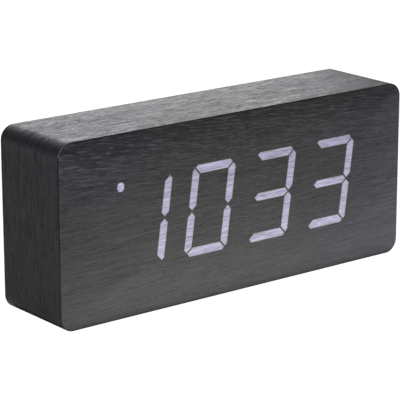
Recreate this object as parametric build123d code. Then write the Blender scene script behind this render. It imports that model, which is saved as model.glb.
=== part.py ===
from build123d import *
import math
import os

# A block-shaped table clock: a black veneered fibreboard case with a seven-segment
# LED display that shines through the front veneer. The controls are in a recessed
# panel at the back, and four AAA cells sit in a tray under a hinged door below.
# Millimetres. X runs to the right seen from the front, Y from front to back, Z up.
# The origin is on the table, under the middle of the case.

# ---------------------------------------------------------------- driving dimensions
# Case
CASE_WIDTH = 210.0
CASE_DEPTH = 47.0
OVERALL_HEIGHT = 90.0
CASE_CORNER_RADIUS = 7.0
PAD_PROUD = 0.7  # the foot pads hold the case this far off the table
FACE_VENEER = 0.5
WRAP_VENEER = 0.6
EDGE_EASING = 0.25  # sanded edge round the front and rear of the veneer
WALL = 9.0
FRONT_WALL = 8.0
CAVITY_RADIUS = 10.0
WRAP_SEAM_X = -84.0  # where the two ends of the wrapped strip meet, underneath
WRAP_SEAM_GAP = 0.1
SHEET_OVERHANG = 0.1  # the veneer and the wood stand this far clear of the tray's flange

# Rear board, let into a rebate in the case
REBATE_INSET = 4.2
REBATE_RADIUS = 4.0
REAR_BOARD = 2.5
REAR_VENEER = 0.5
BOARD_GAP = 0.2
REAR_SCREW_INSET = 9.5

# Display
DISPLAY_X = 1.0
DIGIT_RISE = 0.3  # the middle of the digits over the middle of the case
REFLECTOR_WIDTH = 154.0
REFLECTOR_HEIGHT = 50.0
REFLECTOR_RADIUS = 2.0
REFLECTOR_SKIN = 1.5  # what is left at the front between the pockets
POCKET_WALL = 1.1  # what is left round each pocket
POCKET_DRAFT = 0.6  # how much narrower a pocket is at the board, on every side
CORE_INSET = (2.0, 4.0)  # from the reflector's sides, and from its top and bottom
PEG_RADIUS = 1.0
PEG_PROUD = 0.6  # how far a locating peg stands out of the display board
PEG_INSET = 2.0
DIGIT_COUNT = 4
DIGIT_PITCH = 38.1
DIGIT_WIDTH = 21.9  # between the centre lines of the upright strokes
DIGIT_HEIGHT = 40.2  # between the centre lines of the top and bottom strokes
STROKE = 4.4
MIDDLE_STROKE = 4.0
SEGMENT_GAP = 0.5
ACUTE_CUT = 3.8  # corner cut at the top right and bottom left of a digit
OBTUSE_CUT = 2.7  # corner cut at the other two corners
SLANT = math.tan(math.radians(8.0))
COLON_DIAMETER = 4.0
COLON_RISE = 9.0
ALARM_DOT_WIDTH = 4.15
ALARM_DOT_HEIGHT = 4.75
ALARM_DOT_X = -71.4
ALARM_DOT_RISE = 18.95
GUIDE_DEPTH = 6.0
GUIDE_CLEARANCE = 0.05
LED_LENGTH = 2.0
LED_WIDTH = 1.25
LED_THICK = 0.8
CIRCUIT_BOARD = 1.6
DISPLAY_BOARD_WIDTH = 166.0
DISPLAY_BOARD_HEIGHT = 60.0
BOARD_CORNER = 2.0
DISPLAY_SCREW_BESIDE = 3.0  # from the reflector's ends to the screws beside it
DISPLAY_SCREW_BEYOND = 2.6  # from its long edges to the screws above and below
DISPLAY_SCREW_RISE = 18.0

# What stands on the rear of the display board: places are X and the height over the middle
CHIP_AT = (42.0, 8.0)
CRYSTAL_AT = (42.0, -9.0)
CAPACITOR_AT = (64.0, 0.0)
RESISTORS_AT = (14.0, 20.0)
RESISTOR_COUNT = 8
RESISTOR_PITCH = 3.2

# Ribbon cable between the two boards, and the battery leads
RIBBON_X = -22.0
RIBBON_WIDTH = 15.2
RIBBON_THICK = 0.9
RIBBON_BEND = 4.0
RIBBON_FRONT_RISE = 10.0
RIBBON_REAR_RISE = -5.0
CONNECTOR_DEPTH = 5.0
CONNECTOR_HEIGHT = 6.0
LEAD_RADIUS = 0.65
LEAD_BEND = 8.0
LEAD_RISE = 11.0  # how far a lead goes straight up before it turns
LEAD_DROP = 8.0  # how far below the middle of the case it reaches the control board
LEAD_X = 5.0

# Control panel at the back
PANEL_WIDTH = 88.0
PANEL_HEIGHT = 22.0
PANEL_RADIUS = 3.0
PANEL_RIM = 1.2
PANEL_FLOOR = 1.8
PANEL_RECESS = 2.2  # from the rear face of the case down to the panel's floor
PANEL_FLANGE = 3.0
PANEL_FLANGE_THICK = 1.0
PANEL_RIM_SUNK = 0.1
CONTROL_BOARD_WIDTH = 86.0
CONTROL_BOARD_HEIGHT = 24.0
CONTROL_BOARD_CORNER = 1.5
BOSS_LENGTH = 5.0
BOSS_RADIUS = 2.3
BOSS_HOLE_CLEARANCE = 0.05
BOSS_X = 40.3
BOSS_Z = 8.4

# Buttons and the push switches behind them
BUTTON_PITCH = 14.0
BUTTON_RADIUS = 4.0
BUTTON_PROUD = 1.6
BUTTON_CLEARANCE = 0.25
BUTTON_FLANGE_RADIUS = 4.9
BUTTON_FLANGE = 0.7
BUTTON_EDGE = 0.5
BUTTON_DISH_RADIUS = 14.0
BUTTON_DISH_DEPTH = 0.35
BUTTON_TRAVEL = 0.5
PUSH_SWITCH_SIDE = 6.0
PUSH_SWITCH_HEIGHT = 3.5
PUSH_SWITCH_CORNER = 0.4
PLUNGER_PROUD = 0.6
PLUNGER_RADIUS = 1.7
PLUNGER_LENGTH = 1.3
PLUNGER_CLEARANCE = 0.05
PLUNGER_ROOM = 0.2  # left under a plunger that is pressed right down

# Sound switch
SLIDE_SWITCH_X = -34.0
SWITCH_TRAVEL = 3.0
SWITCH_CAN = (9.0, 4.4)
SWITCH_FLOOR = 1.5
LEVER_WIDTH = 2.0
LEVER_HEIGHT = 2.2
LEVER_ROOM = 0.2  # between the lever and its can, on every side
LEVER_FOOT_GAP = 0.3
LEVER_PROUD = 1.3  # above the floor of the panel
LEVER_GRIPS = (-0.6, 0.0, 0.6)
LEVER_GRIP_WIDTH = 0.24
LEVER_GRIP_DEPTH = 0.2
SLOT_ROOM = 0.6  # between the lever and the ends of its slot in the panel
SLOT_HEIGHT = 3.0

# Power socket
SOCKET_X = 33.0
SOCKET_WIDTH = 7.5
SOCKET_HEIGHT = 2.8
SOCKET_SLOPE = 0.9
SOCKET_WALL = 0.3
SOCKET_SUNK = 0.1  # from the floor of the panel down to the shell's mouth
SOCKET_BASE = 1.8
SOCKET_MOUTH = (8.2, 3.5)
SOCKET_MOUTH_RADIUS = 0.8
TONGUE = (3.8, 0.6)
TONGUE_RISE = 0.25
TONGUE_SUNK = 1.0

# Buzzer and microphone
BUZZER_X = 24.0
BUZZER_RADIUS = 4.2
BUZZER_HOLE = 1.0
BUZZER_HOLE_DEPTH = 2.6
MICROPHONE_X = -24.0
MICROPHONE_RADIUS = 3.0
MICROPHONE_HOLE = 0.8
MICROPHONE_LID = 0.6
CAPSULE_GAP = 0.4  # between each of them and the panel
CAPSULE_EDGE = 0.3
SOUND_HOLE = 0.6
SOUND_RING = 2.2
SOUND_RING_COUNT = 6

# Battery tray and door underneath
TRAY_Y = 1.0
CELL_RADIUS = 5.25
CELL_LENGTH = 44.5
CELL_PITCH = 11.0
CELL_NUB_RADIUS = 1.9
CELL_NUB = 1.2
CELL_EDGE = 0.4
TROUGH_RADIUS = 5.6
CELL_RISE = 7.45  # from the underside of the case up to a cell's axis
TRAY_WALL = 1.5
TRAY_EDGE = 3.0
TRAY_GAP = 0.3  # between the tray and its slot in the wood
DIVIDER = 1.6
TRAY_FLANGE = 1.2
TRAY_FLANGE_HALF_LENGTH = 58.5
TRAY_FLANGE_HALF_WIDTH = 16.0
TRAY_FLANGE_CORNER = 3.0

# Battery contacts and springs
CONTACT_THICK = 0.4
CONTACT_HALF_WIDTH = 3.4
CONTACT_CORNER = 1.0
CONTACT_BELOW = 4.5  # how far a contact reaches below and above a cell's axis
CONTACT_ABOVE = 4.1
STRAP_HALF_WIDTH = 2.0
STRAP_RISE = 0.4  # from the door's seat up to the strap under the divider
TAB_HALF_WIDTH = 1.4
TAB_PROUD = 1.8
OPENING_ROOM = 0.3  # round a strap in the divider
TAB_ROOM = 0.1
SPRING_LENGTH = 2.8
SPRING_WIRE = 0.25
SPRING_TURNS = 2.5
SPRING_BASE_RADIUS = 3.3
SPRING_NARROWS = 1.0

# Battery door, its hinge and its latch
DOOR_THICK = 1.4
DOOR_GAP = 0.25
DOOR_CORNER = 1.0
DOOR_LAP = 0.6  # how far the door laps the edges of the cells' space
DOOR_REAR_LAP = 0.8
DOOR_SEAT_GAP = 0.2
DOOR_RIB = 0.8
DOOR_RIB_SPAN = (4.0, 42.0)
DOOR_RIB_HEIGHT = 1.2  # between the two rows of cells
DOOR_CROSS_RIBS = (12.0, 23.0, 34.0)
DOOR_CROSS_RIB_HALF = 9.0
DOOR_CROSS_RIB_HEIGHT = 0.4  # under the cells
HINGE_REACH = 1.5  # from the hinge axis to the door's edge
HINGE_GAP = 0.3
HINGE_CHEEK = 2.7  # of the tray's flange, beside a knuckle
HINGE_BEFORE = 1.7  # of the flange in front of the hinge axis, and above it
HINGE_ABOVE = 1.5
KNUCKLE_X = 30.0
KNUCKLE_WIDTH = 8.2
KNUCKLE_ROOM = 0.2
NECK_RISE = 0.5  # of a knuckle's neck above the hinge axis
NECK_LAP = 0.1  # of the neck into the door, and of the latch into it
NOTCH_BEFORE = 1.0  # of a knuckle's notch in front of the hinge axis, and above it
NOTCH_ABOVE = 1.1
PIN_RADIUS = 0.45
PIN_LENGTH = 1.3
PIN_CLEARANCE = 0.07
LATCH_HALF = 6.0
LATCH_INSET = 0.4
LATCH_THICK = 0.85
LATCH_RISE = 3.4
LATCH_NOSE_RISE = 2.2
LATCH_NOSE = 0.2
LATCH_TIP = 0.15
LATCH_ROOM = 0.5
WINDOW_INSET = 0.7
WINDOW_RISE = 4.2
SCOOP = (7.0, 3.2)  # the finger scoop's half axes
SCOOP_DEPTH = 0.6
GRIP_ROWS = 3
GRIP_PITCH = 1.6
GRIP_FROM_EDGE = 3.0
GRIP_LENGTH = 16.0
GRIP_SHORTENS = 3.0
GRIP_WIDTH = 0.8
GRIP_DEPTH = 0.4

# Foot pads
PAD_RADIUS = 4.5
PAD_SUNK = 0.3
PAD_X = 92.0
PAD_Y = 15.0
PAD_GAP = 0.1
PAD_EDGE = 0.2

# Screws
REAR_SCREW = {"length": 9.0, "shank": 1.2, "head": 2.4}
TRAY_SCREW = {"length": 8.0, "shank": 1.1, "head": 2.1}
BOARD_SCREW = {"length": 6.0, "shank": 0.9, "head": 1.9}
HOLE_CLEARANCE = 0.1
BOARD_HOLE_CLEARANCE = 0.2
RECESS_LENGTH = 1.2  # of the driver's cross, as shares of the head's radius
RECESS_WIDTH = 0.26
PAN_HEIGHT = 0.7
PAN_EDGE = 0.35

# ---------------------------------------------------------------- places that follow
CASE_BOTTOM = PAD_PROUD
CASE_TOP = OVERALL_HEIGHT
CASE_HEIGHT = CASE_TOP - CASE_BOTTOM
MIDDLE_Z = (CASE_TOP + CASE_BOTTOM) / 2
DIGIT_Z = MIDDLE_Z + DIGIT_RISE
FRONT_Y = -CASE_DEPTH / 2
REAR_Y = CASE_DEPTH / 2
VENEER_REAR_Y = FRONT_Y + FACE_VENEER
CAVITY_FRONT_Y = VENEER_REAR_Y + FRONT_WALL
REAR_VENEER_Y = REAR_Y - REAR_VENEER
REBATE_Y = REAR_VENEER_Y - REAR_BOARD
DISPLAY_BOARD_REAR_Y = CAVITY_FRONT_Y + CIRCUIT_BOARD

PANEL_FLOOR_Y = REAR_Y - PANEL_RECESS
PANEL_FRONT_Y = PANEL_FLOOR_Y - PANEL_FLOOR
CONTROL_BOARD_REAR_Y = PANEL_FRONT_Y - BOSS_LENGTH
CONTROL_BOARD_FRONT_Y = CONTROL_BOARD_REAR_Y - CIRCUIT_BOARD
BUTTONS_X = {"set": BUTTON_PITCH, "up": 0.0, "down": -BUTTON_PITCH}

CELL_Z = CASE_BOTTOM + CELL_RISE
CELL_FRONT_Y = TRAY_Y - CELL_PITCH / 2
CELL_REAR_Y = TRAY_Y + CELL_PITCH / 2
SLOT_LENGTH = CELL_LENGTH + 2 * CONTACT_THICK + SPRING_LENGTH
SLOT_START = DIVIDER / 2
SLOT_END = SLOT_START + SLOT_LENGTH
TRAY_HALF_LENGTH = SLOT_END + TRAY_WALL
TROUGH_HALF_WIDTH = CELL_PITCH / 2 + TROUGH_RADIUS
TRAY_HALF_WIDTH = TROUGH_HALF_WIDTH + TRAY_WALL
TRAY_TOP = CELL_Z + TROUGH_RADIUS + TRAY_WALL
FLANGE_TOP = CASE_BOTTOM + TRAY_FLANGE
DOOR_TOP = CASE_BOTTOM + DOOR_THICK
LEDGE_Z = DOOR_TOP + DOOR_SEAT_GAP
HINGE_Z = CASE_BOTTOM + DOOR_THICK / 2
DOOR_REAR_Y = TRAY_Y + TROUGH_HALF_WIDTH + DOOR_REAR_LAP
DOOR_FRONT_Y = TRAY_Y - TROUGH_HALF_WIDTH - DOOR_LAP
HINGE_Y = DOOR_FRONT_Y - HINGE_REACH
RECESS_FRONT_Y = DOOR_FRONT_Y - HINGE_GAP
RECESS_REAR_Y = DOOR_REAR_Y + DOOR_GAP
DOOR_HALF_LENGTH = SLOT_END + DOOR_LAP
KNUCKLE_RADIUS = DOOR_THICK / 2
FACING_REAR = Rot(-90, 0, 0)  # turns +Z to +Y
FACING_FRONT = Rot(90, 0, 0)  # turns +Z to -Y
FACING_DOWN = Rot(180, 0, 0)
NOTCH_HALF = KNUCKLE_WIDTH / 2 + KNUCKLE_ROOM
TAB_TOP = TRAY_TOP + TAB_PROUD
CONTACT_BOTTOM = CELL_Z - CONTACT_BELOW
CONTACT_TOP = CELL_Z + CONTACT_ABOVE
STRAP_Z = LEDGE_Z + STRAP_RISE
BUTTON_FOOT_Y = CONTROL_BOARD_REAR_Y + PUSH_SWITCH_HEIGHT + PLUNGER_PROUD
CAPSULE_REAR_Y = PANEL_FRONT_Y - CAPSULE_GAP


# ---------------------------------------------------------------- helpers
def upright(outline, front, rear):
    """Carries an outline drawn in X and Z from front to rear along Y."""
    return extrude(Plane.XZ.offset(-front) * outline, amount=rear - front, dir=(0, 1, 0))


def level(outline, bottom, top):
    """Carries an outline drawn in X and Y from bottom to top along Z."""
    return extrude(Pos(0, 0, bottom) * outline, amount=top - bottom)


def drafted(outline, draft, front, rear):
    """Carries an outline from front to rear while it narrows by draft on every side."""
    narrower = offset(outline, -draft, kind=Kind.INTERSECTION)
    ends = [Plane.XZ.offset(-front) * outline, Plane.XZ.offset(-rear) * narrower]
    return loft(ends, ruled=True)


def lengthwise(outline, left, right):
    """Carries an outline drawn in Y and Z from left to right along X."""
    return extrude(Plane.YZ.offset(left) * outline, amount=right - left)


def block(x, y, z):
    """A box between the pairs of limits x, y and z."""
    middle = [(low + high) / 2 for low, high in (x, y, z)]
    return Pos(*middle) * Box(*[high - low for low, high in (x, y, z)])


def case_outline(inset, radius=None):
    """The rounded outline of the case, taken in by inset."""
    width = CASE_WIDTH - 2 * inset
    height = CASE_HEIGHT - 2 * inset
    corner = CASE_CORNER_RADIUS - inset if radius is None else radius
    return Pos(0, MIDDLE_Z) * RectangleRounded(width, height, corner)


def panel_outline(grow, radius):
    """The outline of the control panel, grown on every side."""
    rounded = RectangleRounded(PANEL_WIDTH + 2 * grow, PANEL_HEIGHT + 2 * grow, radius)
    return Pos(0, MIDDLE_Z) * rounded


def countersunk(length, shank, head, grow=0.0):
    """A countersunk screw without its recess: head up at Z 0, shank down along -Z."""
    depth = head - shank
    cone = Pos(0, 0, -depth / 2) * Cone(shank + grow, head + grow, depth)
    return cone + Pos(0, 0, -(length + grow) / 2) * Cylinder(shank + grow, length + grow)


def cross_recess(head):
    """The cross-shaped driver recess of a screw whose top is at Z 0."""
    arm = Box(head * RECESS_LENGTH, head * RECESS_WIDTH, head)
    return arm + Rot(0, 0, 90) * arm


def countersunk_screw(length, shank, head):
    return countersunk(length, shank, head) - cross_recess(head)


def pan_screw(length, shank, head):
    """A pan-head screw: head standing on Z 0, shank down along -Z."""
    height = head * PAN_HEIGHT
    dome = Pos(0, 0, height / 2) * Cylinder(head, height)
    dome = chamfer(dome.edges().sort_by(Axis.Z)[-1], height * PAN_EDGE)
    shaft = Pos(0, 0, -length / 2) * Cylinder(shank, length)
    return dome + shaft - Pos(0, 0, height) * cross_recess(head)


def four_places(x, y, z):
    """The places at x to the left and right, and z above and below the case's middle."""
    return [Pos(sx * x, y, MIDDLE_Z + sz * z) for sx in (-1, 1) for sz in (-1, 1)]


def rear_screw_places():
    x = CASE_WIDTH / 2 - REAR_SCREW_INSET
    z = CASE_HEIGHT / 2 - REAR_SCREW_INSET
    return four_places(x, REAR_Y, z)


def tray_screw_places():
    x = (TRAY_HALF_LENGTH + TRAY_FLANGE_HALF_LENGTH) / 2
    return [Pos(side * x, TRAY_Y, CASE_BOTTOM) for side in (-1, 1)]


def display_screw_places():
    """Two screws at each end of the reflector, and one over and one under its middle."""
    beside = REFLECTOR_WIDTH / 2 + DISPLAY_SCREW_BESIDE
    beyond = REFLECTOR_HEIGHT / 2 + DISPLAY_SCREW_BEYOND
    places = four_places(beside, DISPLAY_BOARD_REAR_Y, DISPLAY_SCREW_RISE)
    for rise in (-beyond, beyond):
        places.append(Pos(0, DISPLAY_BOARD_REAR_Y, MIDDLE_Z + rise))
    return [Pos(DISPLAY_X, 0, 0) * place for place in places]


def peg_places():
    """The places of the reflector's pegs, between the outer pairs of digits."""
    rise = REFLECTOR_HEIGHT / 2 - PEG_INSET
    places = four_places(DIGIT_PITCH, DISPLAY_BOARD_REAR_Y, rise)
    return [Pos(DISPLAY_X, 0, 0) * place for place in places]


def boss_places(y):
    return four_places(BOSS_X, y, BOSS_Z)


# ---------------------------------------------------------------- case
def front_veneer():
    """The thin sheet that covers the whole front, with no opening in it."""
    sheet = upright(case_outline(0), FRONT_Y, VENEER_REAR_Y)
    return chamfer(sheet.faces().sort_by(Axis.Y)[0].outer_wire().edges(), EDGE_EASING)


def wrap_veneer():
    """One strip wrapped round the four sides, with its butt seam underneath."""
    strip = upright(case_outline(0), VENEER_REAR_Y, REAR_Y)
    strip = chamfer(strip.faces().sort_by(Axis.Y)[-1].outer_wire().edges(), EDGE_EASING)
    strip -= upright(case_outline(WRAP_VENEER), VENEER_REAR_Y, REAR_Y)
    seam = (WRAP_SEAM_X - WRAP_SEAM_GAP / 2, WRAP_SEAM_X + WRAP_SEAM_GAP / 2)
    strip -= block(seam, (FRONT_Y, REAR_Y), (0, CASE_BOTTOM + WRAP_VENEER))
    strip -= level(flange_outline(SHEET_OVERHANG), 0, CASE_BOTTOM + WRAP_VENEER)
    for x in (-PAD_X, PAD_X):
        for y in (-PAD_Y, PAD_Y):
            strip -= level(Pos(x, y) * Circle(PAD_RADIUS), 0, CASE_BOTTOM + PAD_SUNK)
    return strip


def carcass():
    """The fibreboard block, hollowed from behind, with a window for the display."""
    wood = upright(case_outline(WRAP_VENEER), VENEER_REAR_Y, REAR_Y)
    cavity = case_outline(WRAP_VENEER + WALL, CAVITY_RADIUS)
    wood -= upright(cavity, CAVITY_FRONT_Y, REAR_Y)
    wood -= upright(case_outline(REBATE_INSET, REBATE_RADIUS), REBATE_Y, REAR_Y)
    window = RectangleRounded(
        REFLECTOR_WIDTH + 2 * BOARD_GAP,
        REFLECTOR_HEIGHT + 2 * BOARD_GAP,
        REFLECTOR_RADIUS + BOARD_GAP,
    )
    wood -= upright(Pos(DISPLAY_X, MIDDLE_Z) * window, VENEER_REAR_Y, CAVITY_FRONT_Y)
    wood -= tray_seat()
    for place in rear_screw_places():
        wood -= place * FACING_REAR * countersunk(**REAR_SCREW, grow=HOLE_CLEARANCE)
    for place in tray_screw_places():
        wood -= place * FACING_DOWN * countersunk(**TRAY_SCREW, grow=HOLE_CLEARANCE)
    pilot = BOARD_SCREW["shank"] + HOLE_CLEARANCE
    for place in display_screw_places():
        depth = BOARD_SCREW["length"] + HOLE_CLEARANCE
        wood -= place * FACING_REAR * Pos(0, 0, -depth / 2) * Cylinder(pilot, depth)
    return wood


def tray_seat():
    """What the case gives up for the battery tray: its slot, flange and hinge blocks."""
    half_length = TRAY_HALF_LENGTH + TRAY_GAP
    half_width = TRAY_HALF_WIDTH + TRAY_GAP
    width = (TRAY_Y - half_width, TRAY_Y + half_width)
    seat = block((-half_length, half_length), width, (0, TRAY_TOP))
    seat += level(flange_outline(SHEET_OVERHANG), 0, FLANGE_TOP)
    for x in (-KNUCKLE_X, KNUCKLE_X):
        seat += hinge_block(x, TRAY_GAP)
    return seat


def rear_outline():
    return case_outline(REBATE_INSET + BOARD_GAP, REBATE_RADIUS)


def rear_sheet(front, rear):
    """A sheet of the rear board's outline, open for the panel and its screws."""
    sheet = upright(rear_outline(), front, rear)
    sheet -= upright(panel_outline(BOARD_GAP, PANEL_RADIUS + BOARD_GAP), front, rear)
    for place in rear_screw_places():
        sheet -= place * FACING_REAR * countersunk(**REAR_SCREW, grow=HOLE_CLEARANCE)
    return sheet


def rear_screws():
    return [
        place * FACING_REAR * countersunk_screw(**REAR_SCREW)
        for place in rear_screw_places()
    ]


def foot_pads():
    pad = Cylinder(PAD_RADIUS - PAD_GAP, PAD_PROUD + PAD_SUNK)
    pad = chamfer(pad.edges().sort_by(Axis.Z)[0], PAD_EDGE)
    height = (PAD_PROUD + PAD_SUNK) / 2
    return [Pos(x, y, height) * pad for x in (-PAD_X, PAD_X) for y in (-PAD_Y, PAD_Y)]


# ---------------------------------------------------------------- display
def slanted(points):
    """Leans the points of a digit to the right as they rise."""
    return [(x + SLANT * z, z) for x, z in points]


def anticlockwise(points):
    """Puts the corners of an outline in anticlockwise order, whatever the side."""
    following = points[1:] + points[:1]
    area = sum(x0 * z1 - x1 * z0 for (x0, z0), (x1, z1) in zip(points, following))
    return points if area > 0 else points[::-1]


def corner_end(side, rise, across):
    """The mitred end of a stroke at a corner of the digit, from inside to outside.

    side and rise are -1 or 1; across is True for the top and bottom strokes.
    """
    half = STROKE / 2
    gap = SEGMENT_GAP / math.sqrt(2)
    cut = ACUTE_CUT if side == rise else OBTUSE_CUT
    middle = (2 * half - cut) / 2
    end = [(-half, -half - gap), (middle + gap / 2, middle - gap / 2), (half, half - cut)]
    if across:
        end = [(v, u) for u, v in end]
    return [
        (side * (DIGIT_WIDTH / 2 + u), rise * (DIGIT_HEIGHT / 2 + v)) for u, v in end
    ]


def upright_foot(side, rise):
    """The pointed end of an upright stroke beside the middle stroke, inside first."""
    half = STROKE / 2
    gap = SEGMENT_GAP / math.sqrt(2)
    end = [(-half, gap + half), (0, gap), (half, gap + half)]
    return [(side * (DIGIT_WIDTH / 2 + u), rise * v) for u, v in end]


def middle_end(side):
    """The pointed end of the middle stroke, from its lower to its upper corner."""
    half = MIDDLE_STROKE / 2
    gap = SEGMENT_GAP / math.sqrt(2)
    end = [(-gap - half, -half), (-gap, 0), (-gap - half, half)]
    return [(side * (DIGIT_WIDTH / 2 + u), v) for u, v in end]


def segment_points():
    """The outlines of the seven segments of a digit, about the digit's middle."""
    outlines = []
    for rise in (-1, 1):
        left = corner_end(-1, rise, True)
        right = corner_end(1, rise, True)
        outlines.append(left + right[::-1])
        for side in (-1, 1):
            outlines.append(corner_end(side, rise, False) + upright_foot(side, rise)[::-1])
    outlines.append(middle_end(-1) + middle_end(1)[::-1])
    return [anticlockwise(slanted(points)) for points in outlines]


def digit_x(index):
    return DISPLAY_X + (index - (DIGIT_COUNT - 1) / 2) * DIGIT_PITCH


def digit_faces(index):
    """The seven segment outlines of one digit in their places on the front."""
    place = Pos(digit_x(index), DIGIT_Z)
    return [place * Polygon(*points, align=None) for points in segment_points()]


def colon_faces():
    dot = Circle(COLON_DIAMETER / 2)
    rises = (-COLON_RISE, COLON_RISE)
    return [Pos(DISPLAY_X + SLANT * rise, DIGIT_Z + rise) * dot for rise in rises]


def alarm_face():
    place = Pos(DISPLAY_X + ALARM_DOT_X, DIGIT_Z + ALARM_DOT_RISE)
    return place * SlotOverall(ALARM_DOT_HEIGHT, ALARM_DOT_WIDTH, rotation=90)


def lit_faces():
    """Every outline that can light up: the digits, the colon and the alarm dot."""
    faces = colon_faces() + [alarm_face()]
    for index in range(DIGIT_COUNT):
        faces += digit_faces(index)
    return faces


def reflector_cores(faces):
    """What is hollowed out of the reflector's rear, between the walls of its pockets."""
    across, upward = CORE_INSET
    cores = Rectangle(REFLECTOR_WIDTH - 2 * across, REFLECTOR_HEIGHT - 2 * upward)
    cores = Pos(DISPLAY_X, MIDDLE_Z) * cores
    for face in faces:
        cores -= offset(face, POCKET_WALL, kind=Kind.INTERSECTION)
    return upright(cores, VENEER_REAR_Y + REFLECTOR_SKIN, CAVITY_FRONT_Y)


def display_reflector():
    """The moulding that keeps the light of each segment apart, with four pegs behind."""
    outline = RectangleRounded(REFLECTOR_WIDTH, REFLECTOR_HEIGHT, REFLECTOR_RADIUS)
    moulding = upright(Pos(DISPLAY_X, MIDDLE_Z) * outline, VENEER_REAR_Y, CAVITY_FRONT_Y)
    faces = lit_faces()
    moulding -= reflector_cores(faces)
    for face in faces:
        moulding -= drafted(face, POCKET_DRAFT, VENEER_REAR_Y, CAVITY_FRONT_Y)
    length = CIRCUIT_BOARD + PEG_PROUD
    for place in peg_places():
        peg = Pos(0, 0, PEG_PROUD - length / 2) * Cylinder(PEG_RADIUS, length)
        moulding += place * FACING_REAR * peg
    return moulding


def light_guides(faces):
    """The clear pieces that fill the reflector's pockets from the veneer back."""
    draft = POCKET_DRAFT * GUIDE_DEPTH / FRONT_WALL
    guides = []
    for face in faces:
        outline = offset(face, -GUIDE_CLEARANCE, kind=Kind.INTERSECTION)
        guides.append(drafted(outline, draft, VENEER_REAR_Y, VENEER_REAR_Y + GUIDE_DEPTH))
    return guides


def led(x, z):
    """One light-emitting chip on the front of the display board."""
    body = Box(LED_LENGTH, LED_THICK, LED_WIDTH)
    return Pos(x, CAVITY_FRONT_Y - LED_THICK / 2, z) * body


def segment_leds():
    """Two chips behind every segment, and one behind the alarm dot and colon dots."""
    x_stroke = DIGIT_WIDTH / 2
    z_stroke = DIGIT_HEIGHT / 2
    along = DIGIT_WIDTH / 5
    spots = [(s * along, rise * z_stroke) for s in (-1, 1) for rise in (-1, 0, 1)]
    for side in (-1, 1):
        for share in (-2 / 3, -1 / 3, 1 / 3, 2 / 3):
            spots.append((side * x_stroke, share * z_stroke))
    chips = []
    for index in range(DIGIT_COUNT):
        for x, z in slanted(spots):
            chips.append(led(digit_x(index) + x, DIGIT_Z + z))
    for rise in (-COLON_RISE, COLON_RISE):
        chips.append(led(DISPLAY_X + SLANT * rise, DIGIT_Z + rise))
    chips.append(led(DISPLAY_X + ALARM_DOT_X, DIGIT_Z + ALARM_DOT_RISE))
    return chips


def display_board():
    outline = RectangleRounded(DISPLAY_BOARD_WIDTH, DISPLAY_BOARD_HEIGHT, BOARD_CORNER)
    board = upright(
        Pos(DISPLAY_X, MIDDLE_Z) * outline, CAVITY_FRONT_Y, DISPLAY_BOARD_REAR_Y
    )
    board -= board_holes(display_screw_places())
    return board - board_holes(peg_places(), PEG_RADIUS + GUIDE_CLEARANCE)


def board_holes(places, radius=BOARD_SCREW["shank"] + BOARD_HOLE_CLEARANCE):
    """Round holes right through a circuit board whose rear faces the places are on."""
    drill = Cylinder(radius, 3 * CIRCUIT_BOARD)
    return [place * FACING_REAR * drill for place in places]


def display_screws():
    return [
        place * FACING_REAR * pan_screw(**BOARD_SCREW) for place in display_screw_places()
    ]


# ---------------------------------------------------------------- electronics
def on_display_board(x, z):
    """A place on the rear of the display board, with a piece's +Z towards the rear."""
    return Pos(x, DISPLAY_BOARD_REAR_Y, MIDDLE_Z + z) * FACING_REAR


def clock_chip():
    """The flat-pack chip that keeps the time, with its gull-wing leads."""
    side = 10.0
    thick = 1.4
    standoff = 0.1
    edge = 0.2
    leads_per_side = 11
    lead_pitch = 0.8
    lead_half_width = 0.17
    body = Pos(0, 0, standoff + thick / 2) * Box(side, side, thick)
    body = chamfer(body.edges().group_by(Axis.Z)[-1], edge)
    wing = Polygon(
        (0, 0.7), (0.55, 0.7), (0.75, 0.2), (1.2, 0.2),
        (1.2, 0.0), (0.6, 0.0), (0.4, 0.5), (0, 0.5),
        align=None,
    )
    lead = extrude(Plane.XZ * wing, amount=lead_half_width, both=True)
    pieces = [body]
    for quarter in range(4):
        for number in range(leads_per_side):
            shift = (number - (leads_per_side - 1) / 2) * lead_pitch
            pieces.append(Rot(0, 0, 90 * quarter) * Pos(side / 2, shift, 0) * lead)
    return [on_display_board(*CHIP_AT) * piece for piece in pieces]


def crystal():
    """The watch crystal: a small can lying on the board, with its two leads."""
    radius = 1.5
    length = 8.0
    edge = 0.3
    lead_radius = 0.2
    lead_length = 3.0
    lead_apart = 1.1
    lying = Rot(0, 90, 0)
    can = chamfer(Cylinder(radius, length).edges().filter_by(GeomType.CIRCLE), edge)
    pieces = [Pos(0, 0, radius) * lying * can]
    for side in (-1, 1):
        place = Pos((length + lead_length) / 2, side * lead_apart / 2, radius)
        pieces.append(place * lying * Cylinder(lead_radius, lead_length))
    return [on_display_board(*CRYSTAL_AT) * piece for piece in pieces]


def smoothing_capacitor():
    """An electrolytic can on its square base."""
    side = 6.6
    base_height = 1.0
    corner = 1.2
    radius = 3.15
    height = 6.4
    edge = 0.5
    base = Pos(0, 0, base_height / 2) * Box(side, side, base_height)
    base = chamfer(base.edges().filter_by(Axis.Z).sort_by(Axis.X)[-2:], corner)
    can = Pos(0, 0, base_height + height / 2) * Cylinder(radius, height)
    can = fillet(can.edges().sort_by(Axis.Z)[-1], edge)
    return [on_display_board(*CAPACITOR_AT) * piece for piece in (base, can)]


def chip_resistors():
    """The row of resistors that set the current of the segments."""
    length = 2.0
    width = 1.25
    thick = 0.6
    body = Pos(0, 0, thick / 2) * Box(width, length, thick)
    first, rise = RESISTORS_AT
    row = range(RESISTOR_COUNT)
    return [on_display_board(first + RESISTOR_PITCH * n, rise) * body for n in row]


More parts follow.
